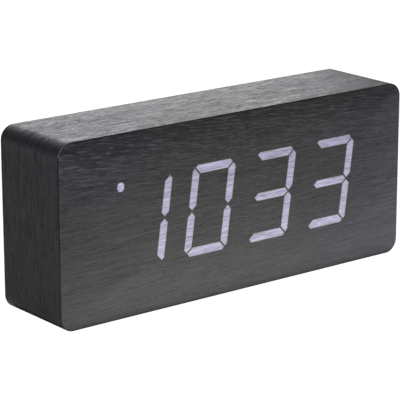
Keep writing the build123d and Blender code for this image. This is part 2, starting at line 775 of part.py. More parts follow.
def connector(place):
    """A shrouded header that the end of the ribbon cable goes into."""
    wall = 1.5
    corner = 0.5
    key_width = 4.0
    key_depth = 0.6
    key_length = 2.0
    width = RIBBON_WIDTH + 2 * wall
    shroud = Pos(0, 0, CONNECTOR_HEIGHT / 2) * Box(width, CONNECTOR_DEPTH, CONNECTOR_HEIGHT)
    shroud = fillet(shroud.edges().filter_by(Axis.Z), corner)
    key = Box(key_width, 2 * key_depth, 2 * key_length)
    return place * (shroud - Pos(0, CONNECTOR_DEPTH / 2, CONNECTOR_HEIGHT) * key)


def display_connector():
    return connector(on_display_board(RIBBON_X, RIBBON_FRONT_RISE))


def control_connector():
    z = MIDDLE_Z + RIBBON_REAR_RISE
    return connector(Pos(RIBBON_X, CONTROL_BOARD_FRONT_Y, z) * FACING_FRONT)


def ribbon_cable():
    """The flat cable between the two boards, in an S between their connectors."""
    start = DISPLAY_BOARD_REAR_Y + CONNECTOR_HEIGHT
    end = CONTROL_BOARD_FRONT_Y - CONNECTOR_HEIGHT
    middle = (start + end) / 2
    upper = MIDDLE_Z + RIBBON_FRONT_RISE
    lower = MIDDLE_Z + RIBBON_REAR_RISE
    route = FilletPolyline(
        (RIBBON_X, start, upper),
        (RIBBON_X, middle, upper),
        (RIBBON_X, middle, lower),
        (RIBBON_X, end, lower),
        radius=RIBBON_BEND,
    )
    section = Plane(origin=route @ 0, z_dir=route % 0, x_dir=(1, 0, 0))
    return sweep(section * Rectangle(RIBBON_WIDTH, RIBBON_THICK), path=route)


def battery_lead(side):
    """An insulated lead from a battery contact up and back to the control board."""
    x = side * (SLOT_START + CONTACT_THICK / 2)
    height = MIDDLE_Z - LEAD_DROP
    corners = [
        (x, CELL_FRONT_Y, TAB_TOP),
        (x, CELL_FRONT_Y, TAB_TOP + LEAD_RISE),
        (side * LEAD_X, CELL_FRONT_Y + LEAD_BEND, height),
        (side * LEAD_X, CONTROL_BOARD_FRONT_Y, height),
    ]
    route = FilletPolyline(*corners, radius=LEAD_BEND)
    section = Plane(origin=route @ 0, z_dir=route % 0)
    return sweep(section * Circle(LEAD_RADIUS), path=route)


# ---------------------------------------------------------------- control panel
def control_panel():
    """The recessed panel: a rim, a pierced floor, an inner flange and four bosses."""
    rim_top = REAR_Y - PANEL_RIM_SUNK
    moulding = upright(panel_outline(0, PANEL_RADIUS), PANEL_FRONT_Y, rim_top)
    moulding -= upright(
        panel_outline(-PANEL_RIM, PANEL_RADIUS - PANEL_RIM), PANEL_FLOOR_Y, rim_top
    )
    moulding += upright(
        panel_outline(PANEL_FLANGE, PANEL_RADIUS + PANEL_FLANGE),
        REBATE_Y - PANEL_FLANGE_THICK,
        REBATE_Y,
    )
    pilot = BOARD_SCREW["shank"] + BOSS_HOLE_CLEARANCE
    for place in boss_places(PANEL_FRONT_Y - BOSS_LENGTH / 2):
        moulding += place * FACING_REAR * Cylinder(BOSS_RADIUS, BOSS_LENGTH)
    for place in boss_places(PANEL_FRONT_Y - BOSS_LENGTH / 2):
        moulding -= place * FACING_REAR * Cylinder(pilot, BOSS_LENGTH)
    return moulding - panel_openings()


def panel_openings():
    """The holes of the buttons, socket, sound switch, microphone and buzzer."""
    holes = [panel_hole(x, Circle(BUTTON_RADIUS + BUTTON_CLEARANCE)) for x in BUTTONS_X.values()]
    holes.append(panel_hole(SOCKET_X, RectangleRounded(*SOCKET_MOUTH, SOCKET_MOUTH_RADIUS)))
    slot_length = SWITCH_TRAVEL + LEVER_WIDTH + 2 * SLOT_ROOM
    slot = RectangleRounded(slot_length, SLOT_HEIGHT, SLOT_ROOM)
    holes.append(panel_hole(SLIDE_SWITCH_X, slot))
    holes.append(panel_hole(MICROPHONE_X, Circle(MICROPHONE_HOLE)))
    holes.append(panel_hole(BUZZER_X, Circle(SOUND_HOLE)))
    for number in range(SOUND_RING_COUNT):
        turn = 2 * math.pi * number / SOUND_RING_COUNT
        x = BUZZER_X + SOUND_RING * math.cos(turn)
        rise = SOUND_RING * math.sin(turn)
        holes.append(panel_hole(x, Circle(SOUND_HOLE), rise))
    return holes


def panel_hole(x, outline, rise=0.0):
    """What an opening through the floor of the panel removes."""
    return upright(Pos(x, MIDDLE_Z + rise) * outline, PANEL_FRONT_Y, PANEL_FLOOR_Y)


def button_cap(x):
    """A round cap with a dished top, held behind the panel by its flange."""
    top = PANEL_FLOOR_Y + BUTTON_PROUD
    flange_rear = BUTTON_FOOT_Y + BUTTON_FLANGE
    stem = upright(Pos(x, MIDDLE_Z) * Circle(BUTTON_RADIUS), flange_rear, top)
    stem = fillet(stem.edges().sort_by(Axis.Y)[-1], BUTTON_EDGE)
    dish_y = top + BUTTON_DISH_RADIUS - BUTTON_DISH_DEPTH
    stem -= Pos(x, dish_y, MIDDLE_Z) * Sphere(BUTTON_DISH_RADIUS)
    flange = Circle(BUTTON_FLANGE_RADIUS)
    return stem + upright(Pos(x, MIDDLE_Z) * flange, BUTTON_FOOT_Y, flange_rear)


def push_switch(x):
    """The body of a push switch on the control board, bored for its plunger."""
    rear = CONTROL_BOARD_REAR_Y + PUSH_SWITCH_HEIGHT
    square = Rectangle(PUSH_SWITCH_SIDE, PUSH_SWITCH_SIDE)
    body = upright(Pos(x, MIDDLE_Z) * square, CONTROL_BOARD_REAR_Y, rear)
    body = chamfer(body.edges().filter_by(Axis.Y), PUSH_SWITCH_CORNER)
    bore = Circle(PLUNGER_RADIUS + PLUNGER_CLEARANCE)
    bottom = BUTTON_FOOT_Y - PLUNGER_LENGTH - BUTTON_TRAVEL - PLUNGER_ROOM
    return body - upright(Pos(x, MIDDLE_Z) * bore, bottom, rear)


def plunger(x):
    """The part of a push switch that its button presses."""
    face = Pos(x, MIDDLE_Z) * Circle(PLUNGER_RADIUS)
    return upright(face, BUTTON_FOOT_Y - PLUNGER_LENGTH, BUTTON_FOOT_Y)


def slide_switch_body():
    """The steel can of the sound switch, slotted for its lever."""
    corner = 0.5
    board = CONTROL_BOARD_REAR_Y
    rear = board + PUSH_SWITCH_HEIGHT
    can = Pos(SLIDE_SWITCH_X, MIDDLE_Z) * RectangleRounded(*SWITCH_CAN, corner)
    slot_length = SWITCH_TRAVEL + LEVER_WIDTH + 2 * LEVER_ROOM
    slot = Rectangle(slot_length, LEVER_HEIGHT + 2 * LEVER_ROOM)
    slot = upright(Pos(SLIDE_SWITCH_X, MIDDLE_Z) * slot, board + SWITCH_FLOOR, rear)
    return upright(can, board, rear) - slot


def slide_switch_lever():
    """The lever of the sound switch, shown at the off end of its slot."""
    edge = 0.3
    x = SLIDE_SWITCH_X - SWITCH_TRAVEL / 2
    front = CONTROL_BOARD_REAR_Y + SWITCH_FLOOR + LEVER_FOOT_GAP
    rear = PANEL_FLOOR_Y + LEVER_PROUD
    stem = upright(Pos(x, MIDDLE_Z) * Rectangle(LEVER_WIDTH, LEVER_HEIGHT), front, rear)
    stem = fillet(stem.edges().group_by(Axis.Y)[-1], edge)
    for rise in LEVER_GRIPS:
        groove = Pos(x, MIDDLE_Z + rise) * Rectangle(2 * LEVER_WIDTH, LEVER_GRIP_WIDTH)
        stem -= upright(groove, rear - LEVER_GRIP_DEPTH, rear)
    return stem


def socket_outline(inset):
    """The D-shaped mouth of the micro power socket."""
    half = SOCKET_WIDTH / 2 - inset
    high = SOCKET_HEIGHT / 2 - inset
    return Polygon(
        (-half + SOCKET_SLOPE, -high), (half - SOCKET_SLOPE, -high), (half, -high + SOCKET_SLOPE),
        (half, high), (-half, high), (-half, -high + SOCKET_SLOPE),
        align=None,
    )


def power_socket_shell():
    """The steel shell of the power socket, standing on the control board."""
    place = Pos(SOCKET_X, MIDDLE_Z)
    rear = PANEL_FLOOR_Y - SOCKET_SUNK
    shell = upright(place * socket_outline(0), CONTROL_BOARD_REAR_Y, rear)
    return shell - upright(place * socket_outline(SOCKET_WALL), CONTROL_BOARD_REAR_Y, rear)


def power_socket_tongue():
    """The insulator that closes the bottom of the socket and carries its contacts."""
    front = CONTROL_BOARD_REAR_Y
    base_rear = front + SOCKET_BASE
    base = upright(Pos(SOCKET_X, MIDDLE_Z) * socket_outline(SOCKET_WALL), front, base_rear)
    tongue = Pos(SOCKET_X, MIDDLE_Z + TONGUE_RISE) * Rectangle(*TONGUE)
    return base + upright(tongue, base_rear, PANEL_FLOOR_Y - TONGUE_SUNK)


def control_board():
    outline = RectangleRounded(
        CONTROL_BOARD_WIDTH, CONTROL_BOARD_HEIGHT, CONTROL_BOARD_CORNER
    )
    board = upright(
        Pos(0, MIDDLE_Z) * outline, CONTROL_BOARD_FRONT_Y, CONTROL_BOARD_REAR_Y
    )
    return board - board_holes(boss_places(CONTROL_BOARD_REAR_Y))


def control_screws():
    return [
        place * FACING_FRONT * pan_screw(**BOARD_SCREW)
        for place in boss_places(CONTROL_BOARD_FRONT_Y)
    ]


def capsule(x, radius, hole_radius, hole_depth):
    """A round can on the control board, with a hole in its rear face."""
    can = upright(Pos(x, MIDDLE_Z) * Circle(radius), CONTROL_BOARD_REAR_Y, CAPSULE_REAR_Y)
    can = chamfer(can.edges().sort_by(Axis.Y)[-1], CAPSULE_EDGE)
    hole = Pos(x, MIDDLE_Z) * Circle(hole_radius)
    return can - upright(hole, CAPSULE_REAR_Y - hole_depth, CAPSULE_REAR_Y)


def buzzer():
    """The sounder behind the ring of holes, with the hole in its own lid."""
    return capsule(BUZZER_X, BUZZER_RADIUS, BUZZER_HOLE, BUZZER_HOLE_DEPTH)


def microphone():
    """The capsule that listens for a clap, behind the single hole."""
    return capsule(MICROPHONE_X, MICROPHONE_RADIUS, MICROPHONE_HOLE, MICROPHONE_LID)


# ---------------------------------------------------------------- battery tray
def flange_outline(grow):
    length = 2 * (TRAY_FLANGE_HALF_LENGTH + grow)
    width = 2 * (TRAY_FLANGE_HALF_WIDTH + grow)
    return Pos(0, TRAY_Y) * RectangleRounded(length, width, TRAY_FLANGE_CORNER)


def hinge_block(x, grow):
    """The thick part of the flange that holds a knuckle's pins."""
    half = NOTCH_HALF + HINGE_CHEEK + grow
    width = (HINGE_Y - HINGE_BEFORE - grow, RECESS_FRONT_Y)
    return block((x - half, x + half), width, (CASE_BOTTOM, HINGE_Z + HINGE_ABOVE + grow))


def battery_tray():
    """The moulded tray: a flange, two troughs each side of a divider, and the seats."""
    low_y, high_y = TRAY_Y - TRAY_HALF_WIDTH, TRAY_Y + TRAY_HALF_WIDTH
    length = (-TRAY_HALF_LENGTH, TRAY_HALF_LENGTH)
    shell = block(length, (low_y, high_y), (CASE_BOTTOM, TRAY_TOP))
    shell = fillet(shell.edges().group_by(Axis.Z)[-1].filter_by(Axis.X), TRAY_EDGE)
    shell += level(flange_outline(0), CASE_BOTTOM, FLANGE_TOP)
    for x in (-KNUCKLE_X, KNUCKLE_X):
        shell += hinge_block(x, 0)
    for left, right in ((-SLOT_END, -SLOT_START), (SLOT_START, SLOT_END)):
        shell -= cell_slot(left, right)
    recess_half = DOOR_HALF_LENGTH + DOOR_GAP
    shell -= block(
        (-recess_half, recess_half), (RECESS_FRONT_Y, RECESS_REAR_Y), (0, LEDGE_Z)
    )
    for x in (-KNUCKLE_X, KNUCKLE_X):
        shell -= hinge_notch(x)
    shell -= latch_window()
    shell -= contact_openings()
    for place in tray_screw_places():
        shell -= place * FACING_DOWN * countersunk(**TRAY_SCREW, grow=HOLE_CLEARANCE)
    scoop = Pos(0, RECESS_REAR_Y) * Ellipse(*SCOOP)
    return shell - level(scoop, CASE_BOTTOM, CASE_BOTTOM + SCOOP_DEPTH)


def cell_slot(left, right):
    """The space of two cells side by side: rounded above and open below."""
    low = TRAY_Y - TROUGH_HALF_WIDTH
    high = TRAY_Y + TROUGH_HALF_WIDTH
    space = block((left, right), (low, high), (LEDGE_Z, CELL_Z))
    for y in (CELL_FRONT_Y, CELL_REAR_Y):
        space += lengthwise(Pos(y, CELL_Z) * Circle(TROUGH_RADIUS), left, right)
    return space


def hinge_notch(x):
    """The notch for a knuckle, with the two holes for its pins."""
    length = (x - NOTCH_HALF, x + NOTCH_HALF)
    width = (HINGE_Y - NOTCH_BEFORE, RECESS_FRONT_Y)
    notch = block(length, width, (0, HINGE_Z + NOTCH_ABOVE))
    hole = Pos(HINGE_Y, HINGE_Z) * Circle(PIN_RADIUS + PIN_CLEARANCE)
    reach = NOTCH_HALF + PIN_LENGTH
    return notch + lengthwise(hole, x - reach, x + reach)


def latch_window():
    """The opening in the rear wall that the door's latch stands in."""
    half = LATCH_HALF + LATCH_ROOM
    wall = (TRAY_Y + TROUGH_HALF_WIDTH - WINDOW_INSET, TRAY_Y + TRAY_HALF_WIDTH)
    return block((-half, half), wall, (LEDGE_Z, LEDGE_Z + WINDOW_RISE))


def contact_openings():
    """The slots for the solder tabs, and the notch for the strap under the divider."""
    notch_half = STRAP_HALF_WIDTH + OPENING_ROOM
    notch_width = (CELL_REAR_Y - notch_half, CELL_REAR_Y + notch_half)
    notch_top = STRAP_Z + CONTACT_THICK + TAB_ROOM
    openings = block((-SLOT_START, SLOT_START), notch_width, (0, notch_top))
    tab_half = TAB_HALF_WIDTH + 2 * TAB_ROOM
    tab_width = (CELL_FRONT_Y - tab_half, CELL_FRONT_Y + tab_half)
    for side in (-1, 1):
        near = side * (SLOT_START - TAB_ROOM)
        far = side * (SLOT_START + CONTACT_THICK + TAB_ROOM)
        openings += block(sorted((near, far)), tab_width, (CELL_Z, TRAY_TOP))
    return openings


def battery_door():
    """The hinged door: a ribbed plate with two knuckles, a latch and grip grooves."""
    half = DOOR_HALF_LENGTH
    plate = block((-half, half), (DOOR_FRONT_Y, DOOR_REAR_Y), (CASE_BOTTOM, DOOR_TOP))
    corners = plate.edges().filter_by(Axis.Z).group_by(Axis.Y)[-1]
    plate = fillet(corners, DOOR_CORNER)
    for side in (-1, 1):
        plate += knuckle(side * KNUCKLE_X)
        plate += door_ribs(side)
    plate += latch_tongue()
    for row in range(GRIP_ROWS):
        y = DOOR_REAR_Y - GRIP_FROM_EDGE - GRIP_PITCH * row
        groove = Pos(0, y) * SlotOverall(GRIP_LENGTH - GRIP_SHORTENS * row, GRIP_WIDTH)
        plate -= level(groove, CASE_BOTTOM, CASE_BOTTOM + GRIP_DEPTH)
    return plate


def door_ribs(side):
    """The ribs inside one half of the door: a tall one between the cells, low ones under."""
    half = DOOR_RIB / 2
    long_rib = block(
        sorted(side * x for x in DOOR_RIB_SPAN),
        (TRAY_Y - half, TRAY_Y + half),
        (DOOR_TOP, DOOR_TOP + DOOR_RIB_HEIGHT),
    )
    width = (TRAY_Y - DOOR_CROSS_RIB_HALF, TRAY_Y + DOOR_CROSS_RIB_HALF)
    height = (DOOR_TOP, DOOR_TOP + DOOR_CROSS_RIB_HEIGHT)
    ribs = [long_rib]
    for distance in DOOR_CROSS_RIBS:
        x = side * distance
        ribs.append(block((x - half, x + half), width, height))
    return ribs


def knuckle(x):
    """A hinge barrel with its neck to the door and a pin at each end."""
    half = KNUCKLE_WIDTH / 2
    reach = half + PIN_LENGTH
    barrel = lengthwise(Pos(HINGE_Y, HINGE_Z) * Circle(KNUCKLE_RADIUS), x - half, x + half)
    pin = lengthwise(Pos(HINGE_Y, HINGE_Z) * Circle(PIN_RADIUS), x - reach, x + reach)
    neck = block(
        (x - half, x + half),
        (HINGE_Y, DOOR_FRONT_Y + NECK_LAP),
        (HINGE_Z - KNUCKLE_RADIUS, HINGE_Z + NECK_RISE),
    )
    return barrel + pin + neck


def latch_tongue():
    """The springy tongue with its rounded nose, at the door's rear edge."""
    inner = TRAY_Y + TROUGH_HALF_WIDTH - LATCH_INSET
    outer = inner + LATCH_THICK
    root = DOOR_TOP - NECK_LAP
    nose = DOOR_TOP + LATCH_NOSE_RISE
    top = DOOR_TOP + LATCH_RISE
    profile = Polygon(
        (inner, root), (outer, root), (outer, nose), (outer + LATCH_NOSE, nose + 2 * LATCH_NOSE),
        (outer - LATCH_TIP, top), (inner, top),
        align=None,
    )
    return lengthwise(profile, -LATCH_HALF, LATCH_HALF)


CELLS = {
    1: {"y": CELL_FRONT_Y, "tip": -SLOT_START - CONTACT_THICK, "points": 1},
    2: {"y": CELL_REAR_Y, "tip": -SLOT_END + CONTACT_THICK, "points": -1},
    3: {"y": CELL_FRONT_Y, "tip": SLOT_END - CONTACT_THICK, "points": 1},
    4: {"y": CELL_REAR_Y, "tip": SLOT_START + CONTACT_THICK, "points": -1},
}  # tip is where the positive nub ends, and points is its direction along X


def battery_cell(number):
    """One AAA cell: a can with eased ends and its positive nub."""
    cell = CELLS[number]
    can_length = CELL_LENGTH - CELL_NUB
    can = Pos(0, 0, -CELL_NUB - can_length / 2) * Cylinder(CELL_RADIUS, can_length)
    can = chamfer(can.edges().filter_by(GeomType.CIRCLE), CELL_EDGE)
    nub = Pos(0, 0, -CELL_NUB / 2) * Cylinder(CELL_NUB_RADIUS, CELL_NUB)
    nub = chamfer(nub.edges().sort_by(Axis.Z)[-1], CELL_EDGE / 2)
    turned = Rot(0, 90 * cell["points"], 0) * (can + nub)
    return Pos(cell["tip"], cell["y"], CELL_Z) * turned


def battery_spring(number):
    """The conical spring between a cell's flat end and the contact behind it.

    The wire's section has eight sides, which keeps the faces of so fine a coil few.
    """
    cell = CELLS[number]
    rise = SPRING_LENGTH - 2 * SPRING_WIRE
    cone_angle = -math.degrees(math.atan(SPRING_NARROWS / rise))
    coil = Helix(rise / SPRING_TURNS, rise, SPRING_BASE_RADIUS, cone_angle=cone_angle)
    section = Plane(origin=coil @ 0, z_dir=coil % 0)
    wire = sweep(section * RegularPolygon(SPRING_WIRE, 8), path=coil, is_frenet=True)
    behind = cell["tip"] - cell["points"] * (CELL_LENGTH + SPRING_LENGTH - SPRING_WIRE)
    return Pos(behind, cell["y"], CELL_Z) * Rot(0, 90 * cell["points"], 0) * wire


def contact_pad(x_low, y):
    """The upright plate that one end of a cell bears on."""
    height = CONTACT_TOP - CONTACT_BOTTOM
    outline = RectangleRounded(2 * CONTACT_HALF_WIDTH, height, CONTACT_CORNER)
    outline = Pos(y, (CONTACT_BOTTOM + CONTACT_TOP) / 2) * outline
    return lengthwise(outline, x_low, x_low + CONTACT_THICK)


def end_contact(side):
    """The plate that joins the two cells at one end of the tray."""
    x_low = min(side * SLOT_END, side * (SLOT_END - CONTACT_THICK))
    strap = block(
        (x_low, x_low + CONTACT_THICK),
        (CELL_FRONT_Y, CELL_REAR_Y),
        (CONTACT_BOTTOM, CELL_Z - CONTACT_CORNER),
    )
    return contact_pad(x_low, CELL_FRONT_Y) + contact_pad(x_low, CELL_REAR_Y) + strap


def centre_contact():
    """The bridge that joins cells 2 and 4 through the notch in the divider."""
    reach = SLOT_START + CONTACT_THICK
    width = (CELL_REAR_Y - STRAP_HALF_WIDTH, CELL_REAR_Y + STRAP_HALF_WIDTH)
    bridge = block((-reach, reach), width, (STRAP_Z, STRAP_Z + CONTACT_THICK))
    for x_low in (-reach, SLOT_START):
        x = (x_low, x_low + CONTACT_THICK)
        bridge += contact_pad(x_low, CELL_REAR_Y)
        bridge += block(x, width, (STRAP_Z, CONTACT_TOP - CONTACT_CORNER))
    return bridge


def lead_contact(side):
    """A contact with a solder tab that stands out of the tray's roof."""
    x_low = min(side * SLOT_START, side * (SLOT_START + CONTACT_THICK))
    x = (x_low, x_low + CONTACT_THICK)
    width = (CELL_FRONT_Y - TAB_HALF_WIDTH, CELL_FRONT_Y + TAB_HALF_WIDTH)
    return contact_pad(x_low, CELL_FRONT_Y) + block(x, width, (CELL_Z, TAB_TOP))


def tray_screws():
    return [
        place * FACING_DOWN * countersunk_screw(**TRAY_SCREW)
        for place in tray_screw_places()
    ]


# ---------------------------------------------------------------- assembly
def all_parts():
    """Every sub-part of the clock by name: one shape, or a list of separate ones."""
    parts = {
        "front_veneer": front_veneer(),
        "wrap_veneer": wrap_veneer(),
        "carcass": carcass(),
        "rear_board": rear_sheet(REBATE_Y, REAR_VENEER_Y),
        "rear_veneer": rear_sheet(REAR_VENEER_Y, REAR_Y),
        "rear_board_screws": rear_screws(),
        "foot_pads": foot_pads(),
        "display_reflector": display_reflector(),
        "colon_light_guides": light_guides(colon_faces()),
        "alarm_light_guide": light_guides([alarm_face()]),
        "segment_leds": segment_leds(),
        "display_board": display_board(),
        "display_board_screws": display_screws(),
        "clock_chip": clock_chip(),
        "crystal": crystal(),
        "smoothing_capacitor": smoothing_capacitor(),
        "chip_resistors": chip_resistors(),
        "display_connector": display_connector(),
        "control_connector": control_connector(),
        "ribbon_cable": ribbon_cable(),
        "positive_lead": battery_lead(-1),
        "negative_lead": battery_lead(1),
        "control_panel": control_panel(),
        "slide_switch_body": slide_switch_body(),
        "slide_switch_lever": slide_switch_lever(),
        "power_socket_shell": power_socket_shell(),
        "power_socket_tongue": power_socket_tongue(),
        "control_board": control_board(),
        "control_board_screws": control_screws(),
        "buzzer": buzzer(),
        "microphone": microphone(),
        "battery_tray": battery_tray(),
        "battery_tray_screws": tray_screws(),
        "battery_door": battery_door(),
        "battery_springs": [battery_spring(number) for number in CELLS],
        "left_end_contact": end_contact(-1),
        "right_end_contact": end_contact(1),
        "centre_contact": centre_contact(),
        "positive_contact": lead_contact(-1),
        "negative_contact": lead_contact(1),
    }
    for index in range(DIGIT_COUNT):
        parts[f"digit_{index + 1}_light_guides"] = light_guides(digit_faces(index))
    for name, x in BUTTONS_X.items():
        parts[f"{name}_button"] = button_cap(x)
        parts[f"{name}_plunger"] = plunger(x)
        parts[f"{name}_push_switch"] = push_switch(x)
    for number in CELLS:
        parts[f"battery_cell_{number}"] = battery_cell(number)
    return parts


os.makedirs("parts", exist_ok=True)
for part_name, shape in all_parts().items():
    if isinstance(shape, list):
        solids = [solid for piece in shape for solid in piece.solids()]
        shape = Compound(children=solids)
    export_step(shape, f"parts/{part_name}.step")
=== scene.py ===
# %% [markdown]
# # A block-shaped LED alarm clock in black veneer
# The clock is a hollow block of fibreboard covered with thin wood veneer. Behind its front
# veneer sits a display whose light shines straight through the wood, so that the digits
# seem to float on a plain block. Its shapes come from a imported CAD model, the frame. This
# script dresses that frame: it gives every piece its finish, cuts the lit patches into the
# front veneer, adds the small marks, and sets up table, light and camera.

# %% Load the frame
import math

import bmesh
import bpy
from mathutils import Matrix, Vector


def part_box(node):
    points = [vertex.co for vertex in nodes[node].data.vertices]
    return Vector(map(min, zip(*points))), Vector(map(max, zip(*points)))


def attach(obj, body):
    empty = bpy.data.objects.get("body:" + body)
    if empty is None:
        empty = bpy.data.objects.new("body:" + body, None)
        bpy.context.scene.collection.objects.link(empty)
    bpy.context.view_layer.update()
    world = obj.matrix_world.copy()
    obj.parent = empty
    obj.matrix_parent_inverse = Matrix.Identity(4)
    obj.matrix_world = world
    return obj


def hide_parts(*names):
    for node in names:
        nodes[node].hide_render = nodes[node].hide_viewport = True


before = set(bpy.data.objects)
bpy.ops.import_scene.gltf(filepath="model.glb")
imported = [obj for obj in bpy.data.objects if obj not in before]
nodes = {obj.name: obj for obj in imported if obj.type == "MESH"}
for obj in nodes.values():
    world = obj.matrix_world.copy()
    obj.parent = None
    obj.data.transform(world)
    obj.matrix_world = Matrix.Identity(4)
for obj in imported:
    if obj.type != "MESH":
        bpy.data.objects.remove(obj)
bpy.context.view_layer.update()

MM = 0.001
scene = bpy.context.scene

# %% [markdown]
# ## Places on the clock
# Nothing is measured twice: the places that the script needs are read from the frame. The
# front veneer gives the plane that the eye meets, and its middle is the middle of the case.
# The wrapped strip of veneer ends at the rear, where the rim of the fibreboard shows.

# %% Read the main places
front_low, front_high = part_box("front_veneer")
FRONT_Y = front_low.y
VENEER = front_high.y - front_low.y
CASE_MIDDLE = (front_low + front_high) / 2
CASE_TOP = front_high.z
STRIP_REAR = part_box("wrap_veneer")[1].y
SAME_PLACE = 0.001 * MM
print(f"front veneer {VENEER / MM:.2f} mm thick, case {(front_high - front_low).z / MM:.1f} mm high")

# %% [markdown]
# ## A small kit for finishes
# Each finish is a material made of nodes: a surface shader at the end, and before it the
# nodes that work out its colour, roughness and relief. It could be wired by hand in the
# shader editor, but thirty finishes in code stay alike and are quick to change.


# %% Start a finish
def new_finish(name, colour, roughness, metallic=0.0):
    """A finish with one surface shader, set to its plain values."""
    finish = bpy.data.materials.new(name)
    finish.use_nodes = True
    shader = finish.node_tree.nodes["Principled BSDF"]
    feed(shader, {"Base Color": (*colour, 1), "Roughness": roughness, "Metallic": metallic})
    return finish, finish.node_tree, shader


def feed(node, values):
    """Gives a node's inputs plain values, or the outputs of other nodes."""
    for socket, value in values.items():
        if isinstance(value, bpy.types.NodeSocket):
            node.id_data.links.new(value, node.inputs[socket])
        else:
            node.inputs[socket].default_value = value


def put(tree, kind, values, **settings):
    """Puts a node into the tree, with its settings and what its inputs get."""
    node = tree.nodes.new("ShaderNode" + kind)
    for name, value in settings.items():
        setattr(node, name, value)
    feed(node, values)
    return node


print("three helpers make a finish")

# %% [markdown]
# ## Where a point lies
# A pattern has to know where on the piece each point is. The object's own coordinates are in
# metres and ride with the piece, so a pattern keeps its real size and doesn't slide when a
# button moves. Noise stretched in one direction is the root of wood grain and rolled metal.

# %% Read places and stretch a noise
NOISE_ROUGHNESS = 0.55


def own_place(tree):
    """The place of each point in the object's own coordinates, in metres."""
    return put(tree, "TexCoord", {}).outputs["Object"]


def own_axes(tree):
    """The same place as three values, X, Y and Z."""
    return put(tree, "SeparateXYZ", {"Vector": own_place(tree)}).outputs


def stretched_noise(tree, per_metre, detail=3.0, shift=0.0, place=None):
    """Noise from 0 to 1, with so many features per metre along X, Y and Z."""
    place = place or own_place(tree)
    stretch = put(tree, "Mapping", {"Vector": place, "Scale": per_metre, "Location": (shift, shift, shift)})
    values = {"Vector": stretch.outputs["Vector"], "Scale": 1.0}
    values |= {"Detail": detail, "Roughness": NOISE_ROUGHNESS}
    return put(tree, "TexNoise", values).outputs["Fac"]


print("patterns are measured in metres, on the piece")

# %% [markdown]
# ## Tones, sums and relief
# The other steps of a recipe are simple. A ramp turns a value into colours. A range maps it
# onto another range, which makes soft masks. Sums and products put patterns together, and a
# bump makes the surface look raised. A Mix node has sockets for every kind of value, so the
# ones for colours are called by their numbers.

# %% Put patterns together
RAMP_MIDDLE = 0.5
MIX_SHARE = 0
MIX_FIRST = 6
MIX_SECOND = 7
MIX_COLOUR = 2


def toned(tree, share, stops, stepped=False):
    """Turns a 0 to 1 value into colours: stops are pairs of position and colour."""
    ramp = put(tree, "ValToRGB", {"Fac": share})
    if stepped:
        ramp.color_ramp.interpolation = "CONSTANT"
    elements = ramp.color_ramp.elements
    while len(elements) < len(stops):
        elements.new(RAMP_MIDDLE)
    for element, (position, colour) in zip(elements, stops):
        element.position = position
        element.color = (*colour, 1)
    return ramp.outputs["Color"]


def between(tree, value, low, high, start=0.0, end=1.0):
    """Maps start..end to low..high, and stops at both ends."""
    limits = {"From Min": start, "From Max": end, "To Min": low, "To Max": high}
    return put(tree, "MapRange", {"Value": value} | limits).outputs["Result"]


def combine(tree, operation, first, second):
    """One value from two, by a sum, product or the like."""
    return put(tree, "Math", {0: first, 1: second}, operation=operation).outputs["Value"]


def weighed(tree, first, second, share):
    """So much of the first value, and the rest of the second."""
    rest = combine(tree, "MULTIPLY", second, 1.0 - share)
    return combine(tree, "ADD", combine(tree, "MULTIPLY", first, share), rest)


def mixed(tree, share, first, second, blend="MIX"):
    """Two colours mixed. The share is how much of the second one shows."""
    values = {MIX_SHARE: share, MIX_FIRST: first, MIX_SECOND: second}
    return put(tree, "Mix", values, data_type="RGBA", blend_type=blend).outputs[MIX_COLOUR]


def relief(shader, height, depth_mm):
    """Makes the surface look raised, by depth_mm where height is 1."""
    bump = put(shader.id_data, "Bump", {"Height": height, "Distance": depth_mm * MM})
    feed(shader, {"Normal": bump.outputs["Normal"]})


print("six helpers combine patterns")

# %% [markdown]
# ## The way of the grain
# The case is covered with open-pored wood. The front sheet's grain runs from left to right.
# The strip round the four sides is one long piece, so its grain follows it over the top and
# down the ends: noise that changes fast only from front to back gives that, with no seam at
# the corners. Real grain isn't ruled, so it wanders, and on the front it leans more and more
# towards the top. Bending the coordinates bends all the patterns together.

# %% Follow the grain
LEAN_AT_MIDDLE = math.tan(math.radians(-1.5))
LEAN_AT_TOP = math.tan(math.radians(6))
GRAIN_WANDER = 0.8 * MM
WANDERS_PER_METRE = (9, 30, 9)


def grain_place(tree, direction):
    """The object's own coordinates, bent so that the grain wanders as it runs."""
    bent = dict(own_axes(tree).items())
    slow = stretched_noise(tree, WANDERS_PER_METRE, detail=1.0)
    wander = between(tree, slow, -GRAIN_WANDER, GRAIN_WANDER)
    if direction == "front":
        lean = between(tree, bent["Z"], LEAN_AT_MIDDLE, LEAN_AT_TOP, CASE_MIDDLE.z, CASE_TOP)
        wander = combine(tree, "ADD", wander, combine(tree, "MULTIPLY", bent["X"], lean))
    across = "Z" if direction == "front" else "Y"
    bent[across] = combine(tree, "ADD", bent[across], wander)
    return put(tree, "CombineXYZ", bent).outputs["Vector"]


def grain_scale(along, across, direction):
    """Features per metre: slow along the grain, fast across it."""
    if direction == "front":
        return (along, along, across)
    return (along, across, along)


print(f"the grain wanders by {GRAIN_WANDER / MM:.1f} mm to each side")

# %% [markdown]
# ## Bands, fibres and pores
# Three things make a surface read as wood: broad soft bands of tone, fine fibres, and short
# pores that catch the light as pale dashes. Each is a noise of its own length and fineness,
# and a shift keeps them from lining up. A pore is either there or not, so only the highest
# places of its noise count, with a short step from none to full.

# %% Draw the wood's patterns
GRAIN_PER_METRE = {"front": (50, 1000), "round the sides": (70, 800)}
